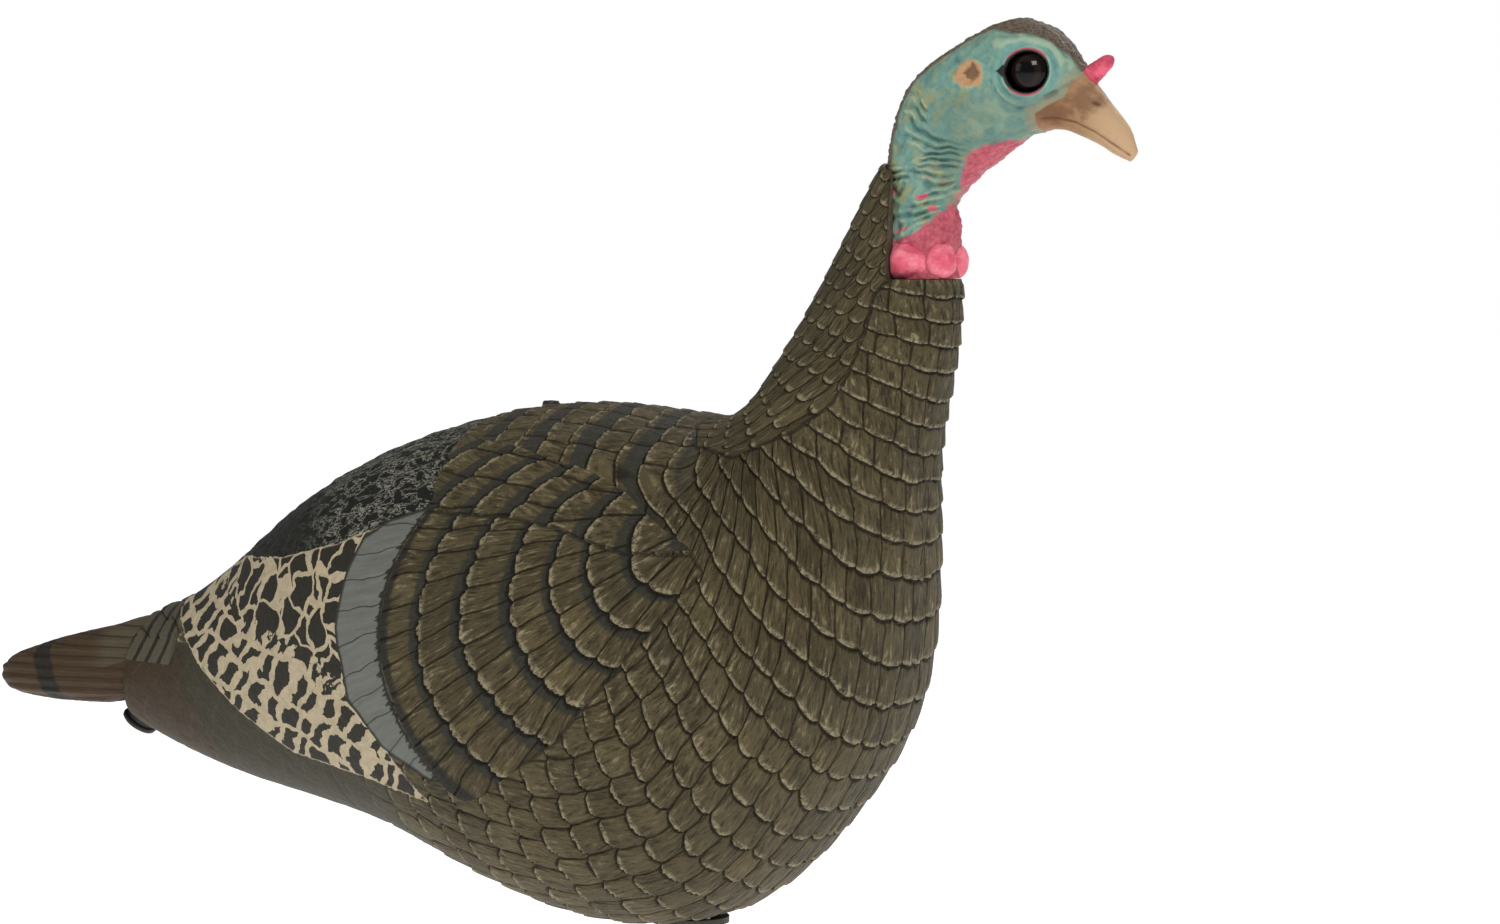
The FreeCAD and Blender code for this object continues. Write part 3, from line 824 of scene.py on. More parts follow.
def plumage_paint():
    """Olive plumage with charcoal bands, a grey crescent, cream barred feathers and a dark rump."""
    sh = Shader("plumage")
    names = ("body_tract", "wing_tract", "shoulder_tract", "neck_tract", "zones")
    body, wing, shoulder, neck, (crescent, cream, rump) = (sh.numbers(n) for n in names)
    place = x, y, z = sh.place()
    pattern = body_pattern(body, wing, shoulder, neck, z)
    s, in_wing, in_neck = pattern["s"], pattern["in_wing"], pattern["in_neck"]
    fine = sh.grain(place, 0.45, 4.0, 0.65)
    speck = sh.grain(place, 0.22, 3.0, 0.6)
    in_crescent = over(crescent, 0.0)
    in_cream = over(cream + 2.0 * (sh.noise(x * 0.3, z * 0.3) - 0.5), 0.0) * (1.0 - in_crescent)
    in_rump = over(rump + 6.0 * (sh.grain(place, 0.12) - 0.5), 0.0) * (1.0 - in_cream)
    rear = ease(-95.0, -150.0, x) * over(330.0 - z, 0.0)
    under = rear * (1.0 - in_cream) * (1.0 - in_crescent) * (1.0 - in_rump)

    along = pick(in_wing, pick(in_neck, body[0] * 1.8, neck[0] * 1.1), wing[0] * 2.2)
    colour, barbs = feather_paint(sh, place, pattern, along, fine, speck)
    dark, fleck = rump_paint(sh, place, fine, speck)
    colour = sh.mix(in_rump, colour, dark)
    grey, shadow = crescent_paint(sh, place, wing[1], shoulder[0], crescent)
    colour = sh.mix(shadow * in_wing * (1.0 - in_crescent) * 0.9, colour, (32, 32, 27))
    colour = sh.mix(in_crescent, colour, grey)
    colour = sh.mix(in_cream, colour, cream_paint(sh, place, cream, fine, speck))
    colour = sh.mix(under * 0.92, colour, under_tail_paint(sh, place))
    # olive with curved black bars over the tail's root
    root = ease(-264.0, -272.0, x) * over(z - 318.0, 0.0) * (1.0 - in_cream) * (1.0 - in_rump)
    bar = ease(0.45, 0.75, sine((x + 0.012 * (z - 345.0) * (z - 345.0)) * 0.62) + 0.9 * (speck - 0.5))
    barred = sh.mix(bar * 0.9, sh.mix(fine, (62, 58, 45), (88, 82, 66)), (22, 20, 16))
    colour = sh.mix(root, colour, barred)

    plain = most(most(in_crescent, in_cream), most(in_rump, under))
    # dark lines in the grooves beyond the feather tips and down their sides, and along the neck and wing
    # tract edges: painted shade
    edge = pattern["beyond"] + 0.07 * (fine - 0.5)
    side = absolute(pattern["t"]) + 0.10 * (fine - 0.5)
    groove = most(ease(0.13, 0.02, edge), ease(0.90, 1.0, side) * 0.8) * (1.0 - plain)
    neck_seam_shade = ease(1.3, 0.3, absolute(neck[2])) * 0.7
    wing_seam_shade = ease(1.3, 0.3, absolute(wing[2])) * 0.6 * (1.0 - plain) * ease(278.0, 292.0, z)
    groove_shade = most(groove, most(neck_seam_shade, wing_seam_shade) * (1.0 - in_rump))
    colour = sh.mix(groove_shade * 0.88, colour, (22, 18, 12))
    furrows = 1.6 * barbs * (1.0 - plain) + 0.35 * fine + 0.5 * s * (1.0 - plain) + 0.8 * fleck * in_rump
    height = (1.0 - groove_shade) * 0.9 + furrows
    return sh.finish(colour, 0.5 + 0.2 * fine, height, depth_mm=1.6, Specular_IOR_Level=0.17)


def make_body():
    points, normals, faces, runs = body_surface()
    fields = body_fields(points, *runs)
    tracts = [list(fields[k].T) for k in ("body_tract", "wing_tract", "shoulder_tract", "neck_tract")]
    pattern = body_pattern(*tracts, points[:, 2])
    height = 0.3 + body_relief(points, fields, pattern)
    fade = edge_fade(points, runs[0])
    height = 0.12 + (height - 0.12) * fade
    shaped = points + normals * height[:, None]
    shaped, faces = open_edges(shaped, faces)
    used, faces = only_used(faces, len(points))
    paint = plumage_paint()
    for name, side in (("plumage_right", 1.0), ("plumage_left", -1.0)):
        place = shaped[used] * [1.0, side, 1.0]
        turned = faces if side > 0 else faces[:, ::-1]
        values = {key: value[used] for key, value in fields.items()}
        piece = make_piece(name, place, turned, "decoy_body", paint, values)


# ---- camera, floor and light


def aim(thing, target):
    thing.rotation_euler = (Vector(target) - thing.location).to_track_quat("-Z", "Y").to_euler()


def make_stage():
    scene = bpy.context.scene
    scene.view_settings.view_transform = "Standard"
    world = bpy.data.worlds.new("studio")
    world.use_nodes = True
    nodes, links = world.node_tree.nodes, world.node_tree.links
    background = nodes["Background"]
    background.inputs[0].default_value = (1.0, 1.0, 1.0, 1.0)
    # the white surround looks brighter than the light it gives
    path = nodes.new("ShaderNodeLightPath")
    strength = nodes.new("ShaderNodeMapRange")
    links.new(path.outputs["Is Camera Ray"], strength.inputs[0])
    strength.inputs[3].default_value = 0.34
    strength.inputs[4].default_value = 1.0
    links.new(strength.outputs[0], background.inputs[1])
    scene.world = world

    turn, lift = math.radians(25), math.radians(3)
    target = Vector((0.032, 0.0, 0.425))
    camera = bpy.data.objects.new("camera", bpy.data.cameras.new("camera"))
    scene.collection.objects.link(camera)
    away = Vector((math.sin(turn) * math.cos(lift), -math.cos(turn) * math.cos(lift), math.sin(lift)))
    camera.location = target + away * 2.1
    aim(camera, target)
    camera.data.sensor_width = 36.0
    camera.data.lens = 104.568
    camera.data.clip_end = 100.0
    scene.camera = camera

    sh = Shader("floor")
    bpy.ops.mesh.primitive_plane_add(size=40.0, location=(0, 0, 0))
    ground = bpy.context.object
    ground.name = "floor"
    paint = sh.finish((0.9, 0.9, 0.9), 0.9, Emission_Color=(1.0, 1.0, 1.0, 1.0), Emission_Strength=0.74)
    ground.data.materials.append(paint)

    for name, place, size, power, colour in (
        ("key", (1.3, -1.9, 2.8), 1.1, 58.0, (1.0, 0.98, 0.95)),
        ("fill", (-2.4, -1.6, 1.6), 1.6, 10.0, (0.95, 0.98, 1.0)),
        ("rim", (0.4, 2.4, 2.2), 1.4, 24.0, (1.0, 1.0, 1.0)),
    ):
        light = bpy.data.objects.new(name, bpy.data.lights.new(name, "AREA"))
        light.data.size = size
        light.data.energy = power
        light.data.color = colour
        scene.collection.objects.link(light)
        light.location = place
        aim(light, (0, 0, 0.38))


def eye_paint():
    """A dark glass eye: a near-black pupil in a very dark brown ring."""
    sh = Shader("eye_gloss")
    x, y, z = sh.place()
    from_middle = (x - EYE[0]) * (x - EYE[0]) + (z - EYE[1]) * (z - EYE[1])
    streaks = sh.noise(x * 0.9, z * 0.9, detail=3.0)
    ring = ease(20.0, 30.0, from_middle) * ease(62.0, 50.0, from_middle)
    colour = sh.mix(ring * (0.4 + 0.6 * streaks), (5, 4, 4), (34, 22, 15))
    return sh.finish(colour, 0.07 + 0.03 * streaks, streaks, 0.02, Specular_IOR_Level=0.18)


def plain_paints():
    """Materials of the pieces that keep their CAD shape."""

    def coat(name, dark, light, roughness, metallic=0.0):
        sh = Shader(name)
        fine = sh.grain(sh.place(), 0.4, 4.0)
        colour = sh.mix(ease(0.35, 0.7, fine), dark, light)
        return sh.finish(colour, roughness + 0.2 * (fine - 0.5), fine, 0.15, Metallic=metallic)

    return {
        "stake_paint": coat("stake_paint", (58, 62, 52), (78, 82, 70), 0.5),
        "zinc_steel": coat("zinc_steel", (150, 150, 148), (180, 180, 178), 0.35, 1.0),
        "inner_plastic": coat("inner_plastic", (30, 30, 30), (42, 42, 42), 0.6),
        "bushing_plastic": coat("bushing_plastic", (44, 41, 32), (62, 58, 46), 0.6),
        "body_plumage": coat("shell_plastic", (66, 57, 43), (90, 80, 62), 0.6),
        "tail_plumage": coat("tail_plastic", (80, 62, 46), (100, 80, 60), 0.6),
        "plug_rubber": coat("plug_rubber", (14, 13, 12), (26, 25, 24), 0.45),
        "head_skin": coat("head_plastic", (110, 170, 165), (140, 190, 185), 0.5),
        "eye_gloss": eye_paint(),
    }


def paint_nodes(paints):
    for part in frame["record"]["subparts"]:
        node = NODES[part["node"]]
        node.data.materials.clear()
        node.data.materials.append(paints[part["material_slot"]])


# ---- tail

TAIL_SECTIONS = [  # top (x, z), bottom (x, z), half width
    (-296, 338, -303, 301, 22.5),
    (-305, 339, -311, 297, 24.5),
    (-322, 334, -325, 294, 26.5),
    (-348, 328, -349, 294, 28.5),
    (-371, 321, -371, 296, 28),
    (-383, 316, -383, 299, 25.5),
    (-387, 313, -387, 302, 22),
]


def section_grid(sections, columns, spacing, fullness):
    """A closed grid of points round smooth sections, each point's angle from the top, and the row count."""
    guide = along_curve(sections, 1500)
    run = run_along(guide[:, :4]) / math.sqrt(2)
    count = int(run[-1] / spacing)
    planes = resample(guide, run, np.linspace(0, run[-1], count))
    top_x, top_z, low_x, low_z, half = (planes[:, k, None] for k in range(5))
    a = np.linspace(0, 2 * math.pi, columns, endpoint=False)[None]
    side = np.sign(np.sin(a)) * np.abs(np.sin(a)) ** fullness
    lift = 0.5 * (1 + np.sign(np.cos(a)) * np.abs(np.cos(a)) ** min(1.0, fullness + 0.3))
    x = low_x + (top_x - low_x) * lift
    z = low_z + (top_z - low_z) * lift
    points = np.stack([x, -half * side, z], axis=2).reshape(-1, 3)
    return points, np.broadcast_to(a, x.shape).ravel(), count


def ring_faces(rows, columns):
    """Quads between rows of a closed grid."""
    i = np.arange(rows - 1)[:, None] * columns
    j = np.arange(columns)[None]
    k = (j + 1) % columns
    return np.stack([i + j, i + k, i + columns + k, i + columns + j], axis=2).reshape(-1, 4)


def quad_normals(points, faces):
    return normals_of(points, np.vstack([faces[:, [0, 1, 2]], faces[:, [0, 2, 3]]]))


def facing_out(points, faces, away):
    """Quads turned to the side that away points to, and their points' normals."""
    normals = quad_normals(points, faces)
    if (normals * away).sum() < 0:
        return faces[:, ::-1], -normals
    return faces, normals


def rounded_end(points, rows, columns, toward, reach):
    """Extra rows that close a grid's last end with a rounded cap."""
    last = points[-columns:]
    centre = last.mean(axis=0)
    cap = ((0.96, 0.35), (0.86, 0.65), (0.66, 0.85), (0.36, 0.97), (0.02, 1.0))
    extra = [centre + (last - centre) * share + np.asarray(toward, float) * reach * out for share, out in cap]
    return np.vstack([points, *extra]), rows + len(cap)


def tail_paint():
    """Brown streaked feathers with one dark band, olive at the root."""
    sh = Shader("tail_feathers")
    x, y, z = sh.place()
    fine = sh.noise(x * 0.3, y * 0.9, z * 0.9, detail=4.0, roughness=0.6)
    streak = sh.noise(x * 0.04, y * 0.5, z * 0.9, detail=3.0, roughness=0.6)
    colour = sh.mix(streak, (38, 26, 12), (78, 59, 36))
    colour = sh.mix(ease(0.62, 0.8, fine) * 0.5, colour, (108, 85, 58))
    wave = 3.0 * (sh.noise(x * 0.05, y * 0.12, z * 0.2) - 0.5)
    band = ease(6.5, 4.5, absolute(x + 355.0 + wave + 0.25 * (z - 308.0)))
    colour = sh.mix(band * 0.9, colour, (22, 20, 14))
    coverts = over(z - 318.0 - 0.3 * (x + 305.0) + wave, 0.0)
    colour = sh.mix(coverts * ease(-330.0, -318.0, x) * 0.75, colour, (76, 70, 52))
    ridge = sine(z * 1.15 + 0.012 * x + 1.6 * sh.noise(x * 0.012, y * 0.1, z * 0.05))
    line = ease(-0.8, -0.97, ridge)
    colour = sh.mix(line * 0.75, colour, (34, 24, 17))
    height = 0.7 * ridge * 0.5 + 0.5 * streak + 0.3 * fine
    return sh.finish(colour, 0.55 + 0.15 * fine, height, 1.1, Specular_IOR_Level=0.25)


def make_tail():
    columns = 220
    points, angle, rows = section_grid(TAIL_SECTIONS, columns, 0.9, 0.42)
    points, rows = rounded_end(points, rows, columns, (-1, 0, 0), 2.2)
    faces, normals = facing_out(points, ring_faces(rows, columns), points - points.mean(axis=0))
    x, y, z = points.T
    wave = noise(points * [0.2, 1, 1], 14.0, 31)
    ridges = np.sin(z * 1.15 + 0.012 * x + 0.8 * wave)
    steps = np.abs((y * 0.16 + 0.25 * wave) % 1.0 - 0.5) * 2
    relief = np.where(np.abs(np.cos(np.resize(angle, len(x)))) < 0.8, 0.35 * ridges, 0.7 * steps - 0.3)
    ends = smoothstep(-303, -309, x)
    points = points + normals * ((relief + 0.2 * noise(points, 3.0, 32)) * ends)[:, None]
    # the tips of the tail feathers are scalloped
    tips = smoothstep(-378, -386, x)
    points[:, 0] += tips * (1.3 * np.abs(np.sin(y * 0.23)) + 0.4 * noise(points, 5.0, 33))
    piece = make_piece("tail_feathers", points, faces, "decoy_body", tail_paint())
    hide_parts("tail_fan")


# ---- head

HEAD_SECTIONS = [  # top (x, z), bottom (x, z), half width, from the neck's foot to the beak's tip
    (105.5, 513.8, 139, 513.8, 18.6),
    (105.5, 534, 138.5, 532, 17.5),
    (106.5, 560, 139, 550, 17.0),
    (109, 583, 152, 563, 18.0),
    (119, 606, 165, 573, 20.0),
    (141, 622, 175, 580, 21.0),
    (168, 634, 185, 583, 20.0),
    (190, 628, 194, 583, 15.5),
    (205, 609, 202, 580, 11.0),
    (217, 594, 211, 576, 8.0),
    (225, 584, 219, 571, 5.5),
    (229, 574, 225, 568.5, 2.6),
]
EYE = (181.0, 609.5)
EYE_OPENING_R = 9.5
EAR = (153.5, 608.5)
CROWN_EDGE = [
    (150, 641), (162, 629.5), (173, 627), (182, 626.5), (190, 623), (198, 617), (203, 610), (207, 600),
]
BEAK = [
    (209, 613), (201, 605), (198, 598), (191, 594.5), (184, 590.5), (183, 584), (188, 570), (240, 555),
    (240, 600), (216, 612),
]
MOUTH = [(184, 588), (194, 588), (202, 586), (211, 581.5), (219, 576), (226, 571)]
PINK = [
    (192, 579), (178, 579.5), (167, 578), (157, 575.5), (150.5, 571.5), (146.5, 563.5), (142.6, 555),
    (137.7, 548), (131.8, 541), (125, 535), (110, 530), (95, 505), (150, 505), (200, 560),
]
BROW = [(166, 622), (178, 625), (190, 621), (199, 612)]
LORE_FOLD = [(190, 598), (199, 603), (203, 607)]
CHEEK_FOLD = [(172, 592), (184, 594), (194, 600)]
CARUNCLES = [  # centre x and y, radii
    (120.2, -15.6, (9.9, 8.8, 9.4)),
    (120.2, 15.6, (9.9, 8.8, 9.4)),
    (133.8, -7.4, (8.4, 8.6, 9.2)),
    (133.8, 7.4, (8.4, 8.6, 9.2)),
]
CARUNCLE_Z = 522.4


def bell(distance, width):
    return np.exp(-((distance / width) ** 2))


def head_zones(points, angle):
    """How deep each place is in the crown, the beak, the pink throat and the ear patch: over 0 inside."""
    x, y, z = points.T
    edge = np.asarray(CROWN_EDGE, float).T
    top = np.where(x > 148, z - np.interp(x, edge[0], edge[1]), -9.0)
    nape = 9.5 + 2.0 * smoothstep(600, 575, z)
    strip = np.where((np.cos(angle) > 0) & (x < 172), nape - np.abs(y) + 1.6 * noise(points, 4.0, 41), -9.0)
    beak = outline_distance(BEAK, x, z)
    crown = np.where(beak > -1, -5.0, np.maximum(top, strip))
    pink = outline_distance(PINK, x, z)
    across = np.abs((x - EAR[0]) * 0.9 + (z - EAR[1]) * 0.25)
    down = np.abs((z - EAR[1]) - (x - EAR[0]) * 0.25)
    ear = 6.6 - (across**2.6 + (1.1 * down) ** 2.6) ** (1 / 2.6) - 0.9 * noise(points, 4.5, 42)
    return crown, beak, pink, np.where(np.abs(y) > 8, ear, -9.0)


def head_relief(points, zones):
    """Height of the eyelids, folds, ear, crown and beak over the smooth head, in mm."""
    x, y, z = points.T
    crown, beak, pink, ear = zones
    side = smoothstep(5, 11, np.abs(y))
    eye = np.hypot(x - EYE[0], z - EYE[1])
    skin = smoothstep(1.0, -1.0, beak) * smoothstep(0.5, -1.0, crown)
    lids = 0.5 + 0.5 * np.sin(np.arctan2(z - EYE[1], x - EYE[0]) * 2 + 0.6) + 0.3 * noise(points, 7.0, 56)
    creases = 0.7 * bell(eye - 15.0, 1.0) - 0.8 * bell(eye - 13.0, 0.9) - 0.6 * bell(eye - 17.0, 0.9)
    relief = side * (0.9 * bell(eye - 10.8, 1.1) + lids * creases)
    for line, rise, width in ((BROW, 1.3, 2.2), (LORE_FOLD, -0.9, 1.2), (CHEEK_FOLD, -0.7, 1.0)):
        relief += side * rise * bell(line_distance(line, x, z), width)
    relief += 0.8 * side * bell(np.hypot(x - 165, (z - 590) * 1.2), 12.0)
    # wrinkles: fine over the face, deep across the neck
    away = smoothstep(12, 19, eye + 60 * (side < 0.5))
    fold = noise(points, 5.0, 43)
    relief += skin * 0.45 * (1 - 2.4 * np.abs(fold)) * away
    ray = np.arctan2(z - 560, 178 - x)
    folds = np.sin(ray * 78 + 5.5 * noise(points, 12.0, 53) + 2.0 * noise(points, 5.0, 54))
    deep = smoothstep(612, 592, z) * smoothstep(2.0, -3.0, pink) * smoothstep(158, 138, x)
    relief += skin * deep * 0.85 * folds * smoothstep(-0.35, 0.35, noise(points, 9.0, 55))
    relief += skin * smoothstep(600, 580, z) * 0.6 * noise(points, 6.0, 57)
    relief += skin * 0.25 * noise(points, 1.7, 44)
    pad = smoothstep(0, 3, pink) * smoothstep(556, 548, z) * smoothstep(524, 532, z)
    relief += pad * (1.2 + 0.7 * noise(points, 3.2, 45) + 0.4 * noise(points, 1.6, 46))
    relief += smoothstep(0, 2, pink) * (1 - pad) * 0.35 * noise(points * [1, 1, 2.0], 2.5, 47)
    # ear
    relief += side * np.where(ear > -2.5, 0.7 * bell(ear - 0.6, 1.6) - 0.4 * smoothstep(1.8, 3.8, ear), 0.0)
    # crown
    fur = 0.45 * noise(points * [0.7, 1.2, 1.2], 1.5, 48) + 0.45 * noise(points, 3.0, 49)
    relief += smoothstep(-0.4, 1.2, crown) * (0.9 + fur)
    # beak
    horn = smoothstep(-0.5, 2.0, beak)
    relief += horn * (0.5 * smoothstep(3.5, 0.5, beak) + 0.12 * noise(points * [0.4, 1, 1], 2.0, 50))
    relief -= horn * 0.8 * bell(line_distance(MOUTH, x, z), 0.9) * smoothstep(0.8, 2.0, np.abs(y))
    nostril = bell(np.hypot((x - 212) * 0.45, z - 595 - 0.35 * (212 - x)), 0.95)
    relief -= 1.3 * nostril * smoothstep(1.0, 2.2, np.abs(y))
    return relief


def head_paint():
    """Mottled blue-green skin, pink throat, tan ear and beak, brown crown."""
    sh = Shader("head_skin_paint")
    crown, beak, pink = sh.numbers("head_zones")
    ear, eye, hollow = sh.numbers("head_marks")
    place = x, y, z = sh.place()
    fine = sh.grain(place, 0.8, 4.0, 0.65)
    patch = sh.grain(place, 0.075, 3.0, 0.6)
    patch2 = sh.noise(x * 0.11, y * 0.11 + 9.0, z * 0.16, detail=3.0, roughness=0.6)
    soft = sh.grain(place, 0.28, 3.0, 0.6)
    colour = sh.mix(ease(0.3, 0.7, soft), (92, 134, 126), (112, 150, 138))
    yellow = ease(0.44, 0.60, patch * 0.6 + soft * 0.4) * (0.35 + 0.65 * ease(166.0, 146.0, x))
    colour = sh.mix(yellow * 0.85, colour, (140, 142, 96))
    colour = sh.mix(ease(0.54, 0.66, patch2) * 0.5, colour, (80, 120, 120))
    around_eye = ease(17.0, 12.0, eye)
    colour = sh.mix(around_eye * 0.6, colour, (100, 150, 148))
    # darker in the relief's hollows and paler on its raised folds: painted shade and painted highlight
    colour = sh.mix(ease(-0.1, -0.9, hollow) * 0.6, colour, (52, 84, 82))
    colour = sh.mix(ease(0.3, 1.1, hollow) * 0.4, colour, (176, 188, 150))
    # a darker cheek and throat below the eye line: painted shade
    cheek_shade = ease(126.0, 146.0, x) * ease(606.0, 594.0, z + 5.0 * (patch - 0.5))
    colour = sh.mix(cheek_shade * 0.42, colour, (74, 98, 88))
    # short pink strokes low on the neck
    strokes = sh.noise(x * 0.10, y * 0.10, z * 0.30 - x * 0.06 + 4.0, detail=1.0)
    low_neck = ease(568.0, 560.0, z) * ease(525.0, 532.0, z) * ease(2.0, -3.0, pink)
    colour = sh.mix(ease(0.61, 0.64, strokes) * low_neck * 0.85, colour, (206, 92, 118))
    # skin turning tan next to the beak
    near_beak = ease(-6.0, -1.0, beak + 4.0 * (fine - 0.5))
    colour = sh.mix(near_beak * 0.45, colour, (158, 128, 92))
    rose = sh.mix(ease(0.3, 0.7, 0.35 * fine + 0.65 * soft), (146, 52, 68), (194, 94, 108))
    colour = sh.mix(ease(-0.9, 0.9, pink + 5.0 * (soft - 0.5)), colour, rose)
    # a near-black ring where the eyelid turns into the socket: painted shade
    lid_shade = ease(10.9, 10.2, eye)
    colour = sh.mix(lid_shade * 0.95, colour, (26, 22, 20))
    bare = ease(11.3, 10.7, eye) * ease(9.9, 10.4, eye)
    bare = bare * ease(5.5, 8.5, absolute(z - 609.0) + 3.0 * (soft - 0.5))
    colour = sh.mix(bare * 0.9, colour, (166, 66, 82))
    corner = ease(3.6, 2.4, absolute(x - 170.6) * 0.8 + absolute(z - 610.0)) * over(absolute(y), 8.0)
    colour = sh.mix(corner, colour, (22, 18, 16))
    middle = absolute(x - 155.2) * 0.9 + absolute(z - 609.6)
    ear_tan = sh.mix(ease(5.4, 3.4, middle + 5.0 * (soft - 0.5)), (176, 136, 98), (112, 84, 58))
    colour = sh.mix(ease(-0.6, 0.4, ear + 1.4 * (fine - 0.5)), colour, ear_tan)
    horn = sh.mix(ease(190.0, 222.0, x + 8.0 * (patch - 0.5)), (138, 98, 62), (182, 150, 115))
    brown = ease(12.0, 3.0, absolute(x - 206.5) * 0.8 + absolute(z - 596.0) * 0.9 + 12.0 * (soft - 0.5))
    corner_brown = ease(9.0, 3.0, absolute(x - 192.0) * 0.5 + absolute(z - 591.0) + 8.0 * (soft - 0.5))
    horn = sh.mix(most(brown, corner_brown) * 0.7, horn, (98, 62, 34))
    # darker in the beak's hollows, the mouth line and the nostril: painted shade
    horn = sh.mix(ease(-0.3, -1.0, hollow) * 0.75, horn, (84, 54, 34))
    colour = sh.mix(ease(-0.3, 0.5, beak), colour, horn)
    hair = sh.noise(x * 0.5, y * 1.4, z * 1.1, detail=4.0, roughness=0.7)
    cap = sh.mix(ease(0.35, 0.65, hair), (58, 49, 39), (112, 98, 80))
    colour = sh.mix(ease(-0.5, 0.6, crown + 1.6 * (hair - 0.5)), colour, cap)
    height = 0.6 * fine + 0.4 * hair * over(crown, 0.0) + 0.4 * strokes
    return sh.finish(colour, 0.5 + 0.1 * fine, height, 0.7, Specular_IOR_Level=0.35)


def make_head():
    columns = 300
    points, angle, rows = section_grid(HEAD_SECTIONS, columns, 0.55, 0.86)
    points, rows = rounded_end(points, rows, columns, (0.5, 0, -0.87), 1.3)
    angle = np.resize(angle, len(points))
    faces, normals = facing_out(points, ring_faces(rows, columns), points - [160, 0, 590])
    zones = head_zones(points, angle)
    relief = head_relief(points, zones)
    eye = np.hypot(points[:, 0] - EYE[0], points[:, 2] - EYE[1])
    eye = np.where(np.abs(points[:, 1]) > 7, eye, 99.0)
    shaped = points + normals * relief[:, None]
    inside = eye < EYE_OPENING_R

    def to_rim(p):
        off = p[:, [0, 2]] - EYE
        off *= (EYE_OPENING_R / np.maximum(np.linalg.norm(off, axis=1), 1e-3))[:, None]
        return np.stack([EYE[0] + off[:, 0], p[:, 1] * 0.94, EYE[1] + off[:, 1]], axis=1)

    shaped, faces = cut_back(shaped, faces, inside, to_rim)
    used, faces = only_used(faces, len(points))
    crown, beak, pink, ear = (zone[used] for zone in zones)
    marks = {
        "head_zones": np.stack([crown, beak, pink], axis=1),
        "head_marks": np.stack([ear, eye[used], relief[used]], axis=1),
    }
    piece = make_piece("head_skin", shaped[used], faces, "head", head_paint(), marks)
    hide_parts("head_shell")


def ball(centre, radii, seed, lumps, rows=48, columns=72):
    """A lumpy ball: points and quads."""
    up = np.linspace(0.02, math.pi - 0.02, rows)[:, None]
    turn = np.linspace(0, 2 * math.pi, columns, endpoint=False)[None]
    parts = [np.sin(up) * np.cos(turn), np.sin(up) * np.sin(turn), np.cos(up) * np.ones_like(turn)]
    unit = np.stack(parts, axis=2).reshape(-1, 3)
    at = unit * 10 + seed
    size = 1 + lumps * noise(at, 8.0, seed) + 0.4 * lumps * noise(at, 3.5, seed + 9)
    points = np.asarray(centre) + unit * np.asarray(radii) * size[:, None]
    return points, ring_faces(rows, columns)[:, ::-1]


def rose_paint(name, dark, pale):
    sh = Shader(name)
    place = sh.place()
    fine = sh.grain(place, 0.7, 4.0, 0.6)
    broad = sh.grain(place, 0.14)
    colour = sh.mix(ease(0.35, 0.65, 0.3 * fine + 0.7 * broad), dark, pale)
    return sh.finish(colour, 0.42 + 0.12 * fine, fine, 0.45, Specular_IOR_Level=0.4)


def make_caruncles():
    """Four lumps round the front of the neck's foot, flattened against the collar."""
    parts, faces, start = [], [], 0
    for seed, (x, y, radii) in enumerate(CARUNCLES, 3):
        points, quads = ball((x, y, CARUNCLE_Z), radii, seed, 0.13)
        points[:, 0] = np.maximum(points[:, 0], 114.6)
        points[:, 2] = np.maximum(points[:, 2], 513.8)
        parts.append(points)
        faces.append(quads + start)
        start += len(points)
    paint = rose_paint("caruncle_pink", (204, 76, 100), (232, 128, 142))
    piece = make_piece("caruncles", np.vstack(parts), np.vstack(faces), "head", paint)


def make_snood():
    """A bent, ringed fleshy spike over the beak."""
    rows, columns = 60, 48
    t = np.linspace(0, 1, rows)[:, None]
    centre = np.concatenate([198 + 19.0 * t, 0 * t, 603.5 + 9.0 * t + 4.2 * t**2], axis=1)
    ahead = np.gradient(centre, axis=0)
    ahead /= np.linalg.norm(ahead, axis=1, keepdims=True)
    up = np.cross(ahead, [0, 1.0, 0])
    tip = np.maximum((t[:, 0] - 0.84) / 0.16, 0)
    radius = (6.4 - 3.5 * t[:, 0]) * np.sqrt(np.maximum(1 - tip**2, 0.0004))
    a = np.linspace(0, 2 * math.pi, columns, endpoint=False)
    ring = np.cos(a)[None, :, None] * up[:, None, :] + np.sin(a)[None, :, None] * np.array([0, 0.85, 0])
    points = (centre[:, None, :] + ring * radius[:, None, None]).reshape(-1, 3)
    away = ring.reshape(-1, 3)
    rings = 0.22 * np.sin(np.repeat(t[:, 0], columns) * 60) * np.repeat(1 - t[:, 0], columns)
    points = points + away * (rings + 0.25 * noise(points, 2.2, 51))[:, None]
    faces, _ = facing_out(points, ring_faces(rows, columns), away)
    paint = rose_paint("snood_pink", (176, 52, 82), (222, 92, 116))
    piece = make_piece("snood", points, faces, "head", paint)


def plug_paint(name, worn_strength):
    """Black rubber. The plug on the back is worn brown in the middle."""
    sh = Shader(name)
    place = x, y, z = sh.place()
    fine = sh.grain(place, 0.9, 4.0)
    off = absolute(x - BACK_PLUG_X) + absolute(y)
    worn = ease(3.4, 2.2, off + 1.5 * (fine - 0.5)) * ease(1.0, 1.8, off)
    colour = sh.mix(ease(0.35, 0.7, fine), (16, 15, 13), (30, 28, 24))
    colour = sh.mix(worn * worn_strength, colour, (96, 74, 46))
    return sh.finish(colour, 0.5 + 0.15 * fine, fine, 0.2)


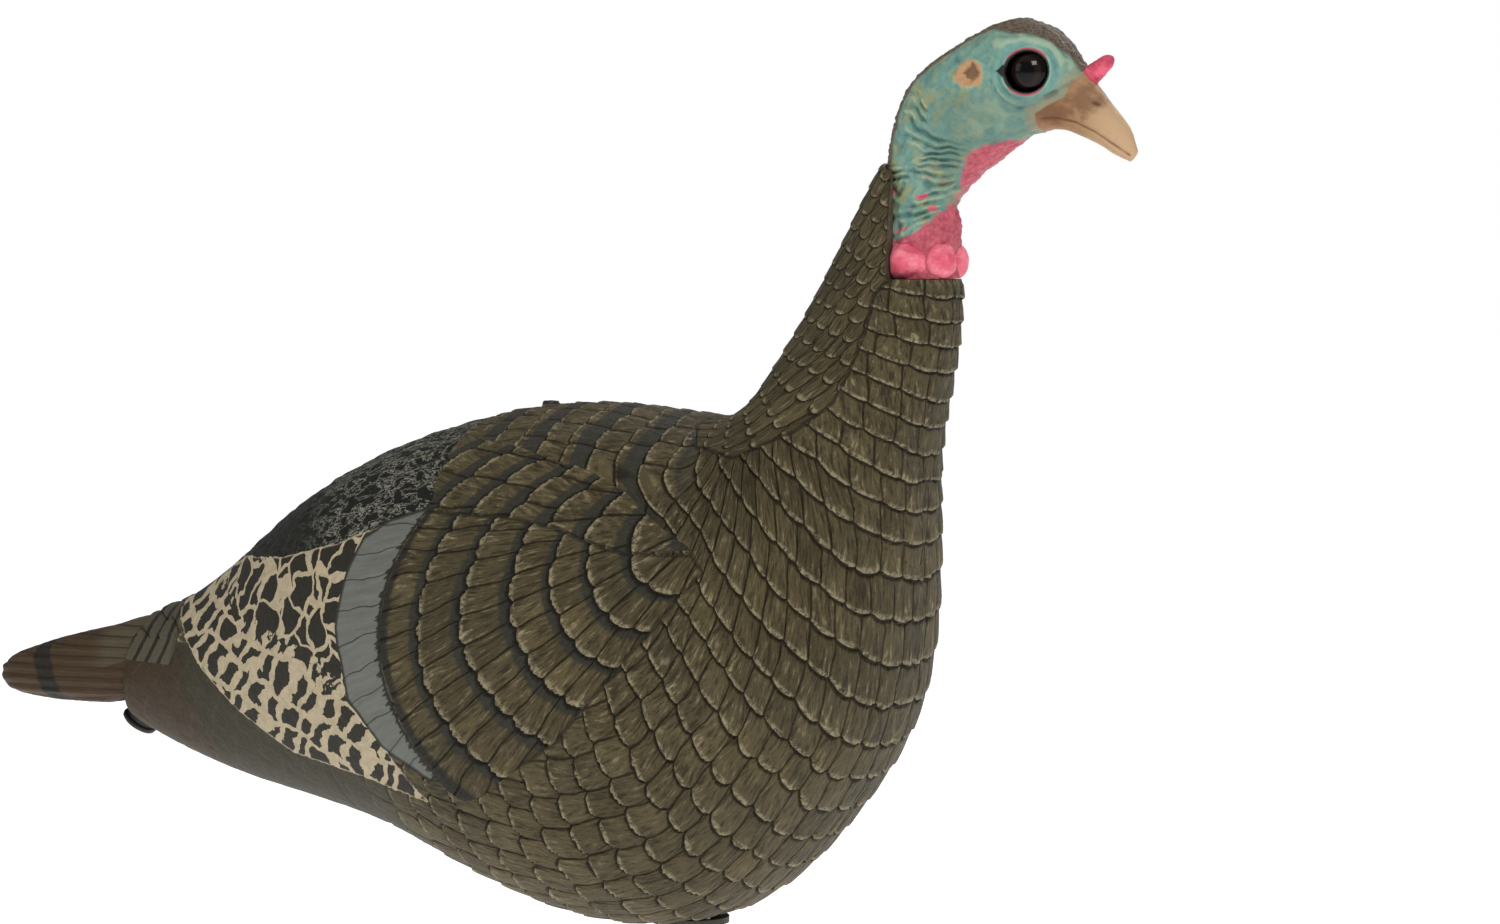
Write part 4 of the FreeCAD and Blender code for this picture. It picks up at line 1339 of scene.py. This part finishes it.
def turned_plug(name, profile, seat, axis, body, node, worn_strength):
    """A turned rubber plug from its profile: each point is a radius and a distance out along the axis."""
    columns, rows = 72, 84
    outline = along_curve(profile, rows)
    out = np.asarray(axis, float)
    side = np.array([0.0, 1.0, 0.0])
    up = np.cross(out, side)
    turn = np.linspace(0, 2 * math.pi, columns, endpoint=False)[:, None]
    ring = np.cos(turn) * up + np.sin(turn) * side
    radius = np.maximum(outline[:, 0], 0.05)[:, None, None]
    points = (np.asarray(seat) + radius * ring[None] + outline[:, 1][:, None, None] * out).reshape(-1, 3)
    centre = np.asarray(seat, float) + out * np.mean(outline[:, 1])
    faces, _ = facing_out(points, ring_faces(rows, columns), points - centre)
    points = points + 0.12 * quad_normals(points, faces) * noise(points, 1.8, 61)[:, None]
    piece = make_piece(name, points, faces, body, plug_paint(name + "_rubber", worn_strength))
    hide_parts(node)


def make_plugs():
    """A dished cap on the back, and a plug with a raised, hollow lip under the root of the tail."""
    cap = [
        (0.05, 2.2), (1.0, 2.3), (1.7, 3.0), (2.4, 4.2), (3.3, 4.5), (4.0, 3.8), (4.3, 2.4), (4.1, 0.8),
        (3.4, 0.0), (2.6, -0.2), (2.6, -7.4), (2.0, -8.0), (0.05, -8.0),
    ]
    back_seat = (BACK_PLUG_X, 0, BACK_PLUG_Z)
    turned_plug("back_plug_cap", cap, back_seat, (0, 0, 1), "decoy_body", "back_plug", 1.0)
    lip = [
        (0.05, 4.0), (4.0, 4.2), (6.0, 5.8), (7.2, 7.8), (8.3, 8.6), (9.3, 8.0), (9.6, 6.6), (8.9, 5.6),
        (8.1, 5.0), (8.0, 1.0), (7.4, 0.5), (5.4, 0.4), (5.3, -12.0), (4.6, -12.8), (0.05, -12.8),
    ]
    turned_plug("vent_plug_lip", lip, VENT_SEAT, VENT_AXIS, "vent_plug", "vent_plug", 0.0)


def main():
    make_stage()
    paint_nodes(plain_paints())
    make_body()
    make_tail()
    make_head()
    make_caruncles()
    make_snood()
    make_plugs()


main()
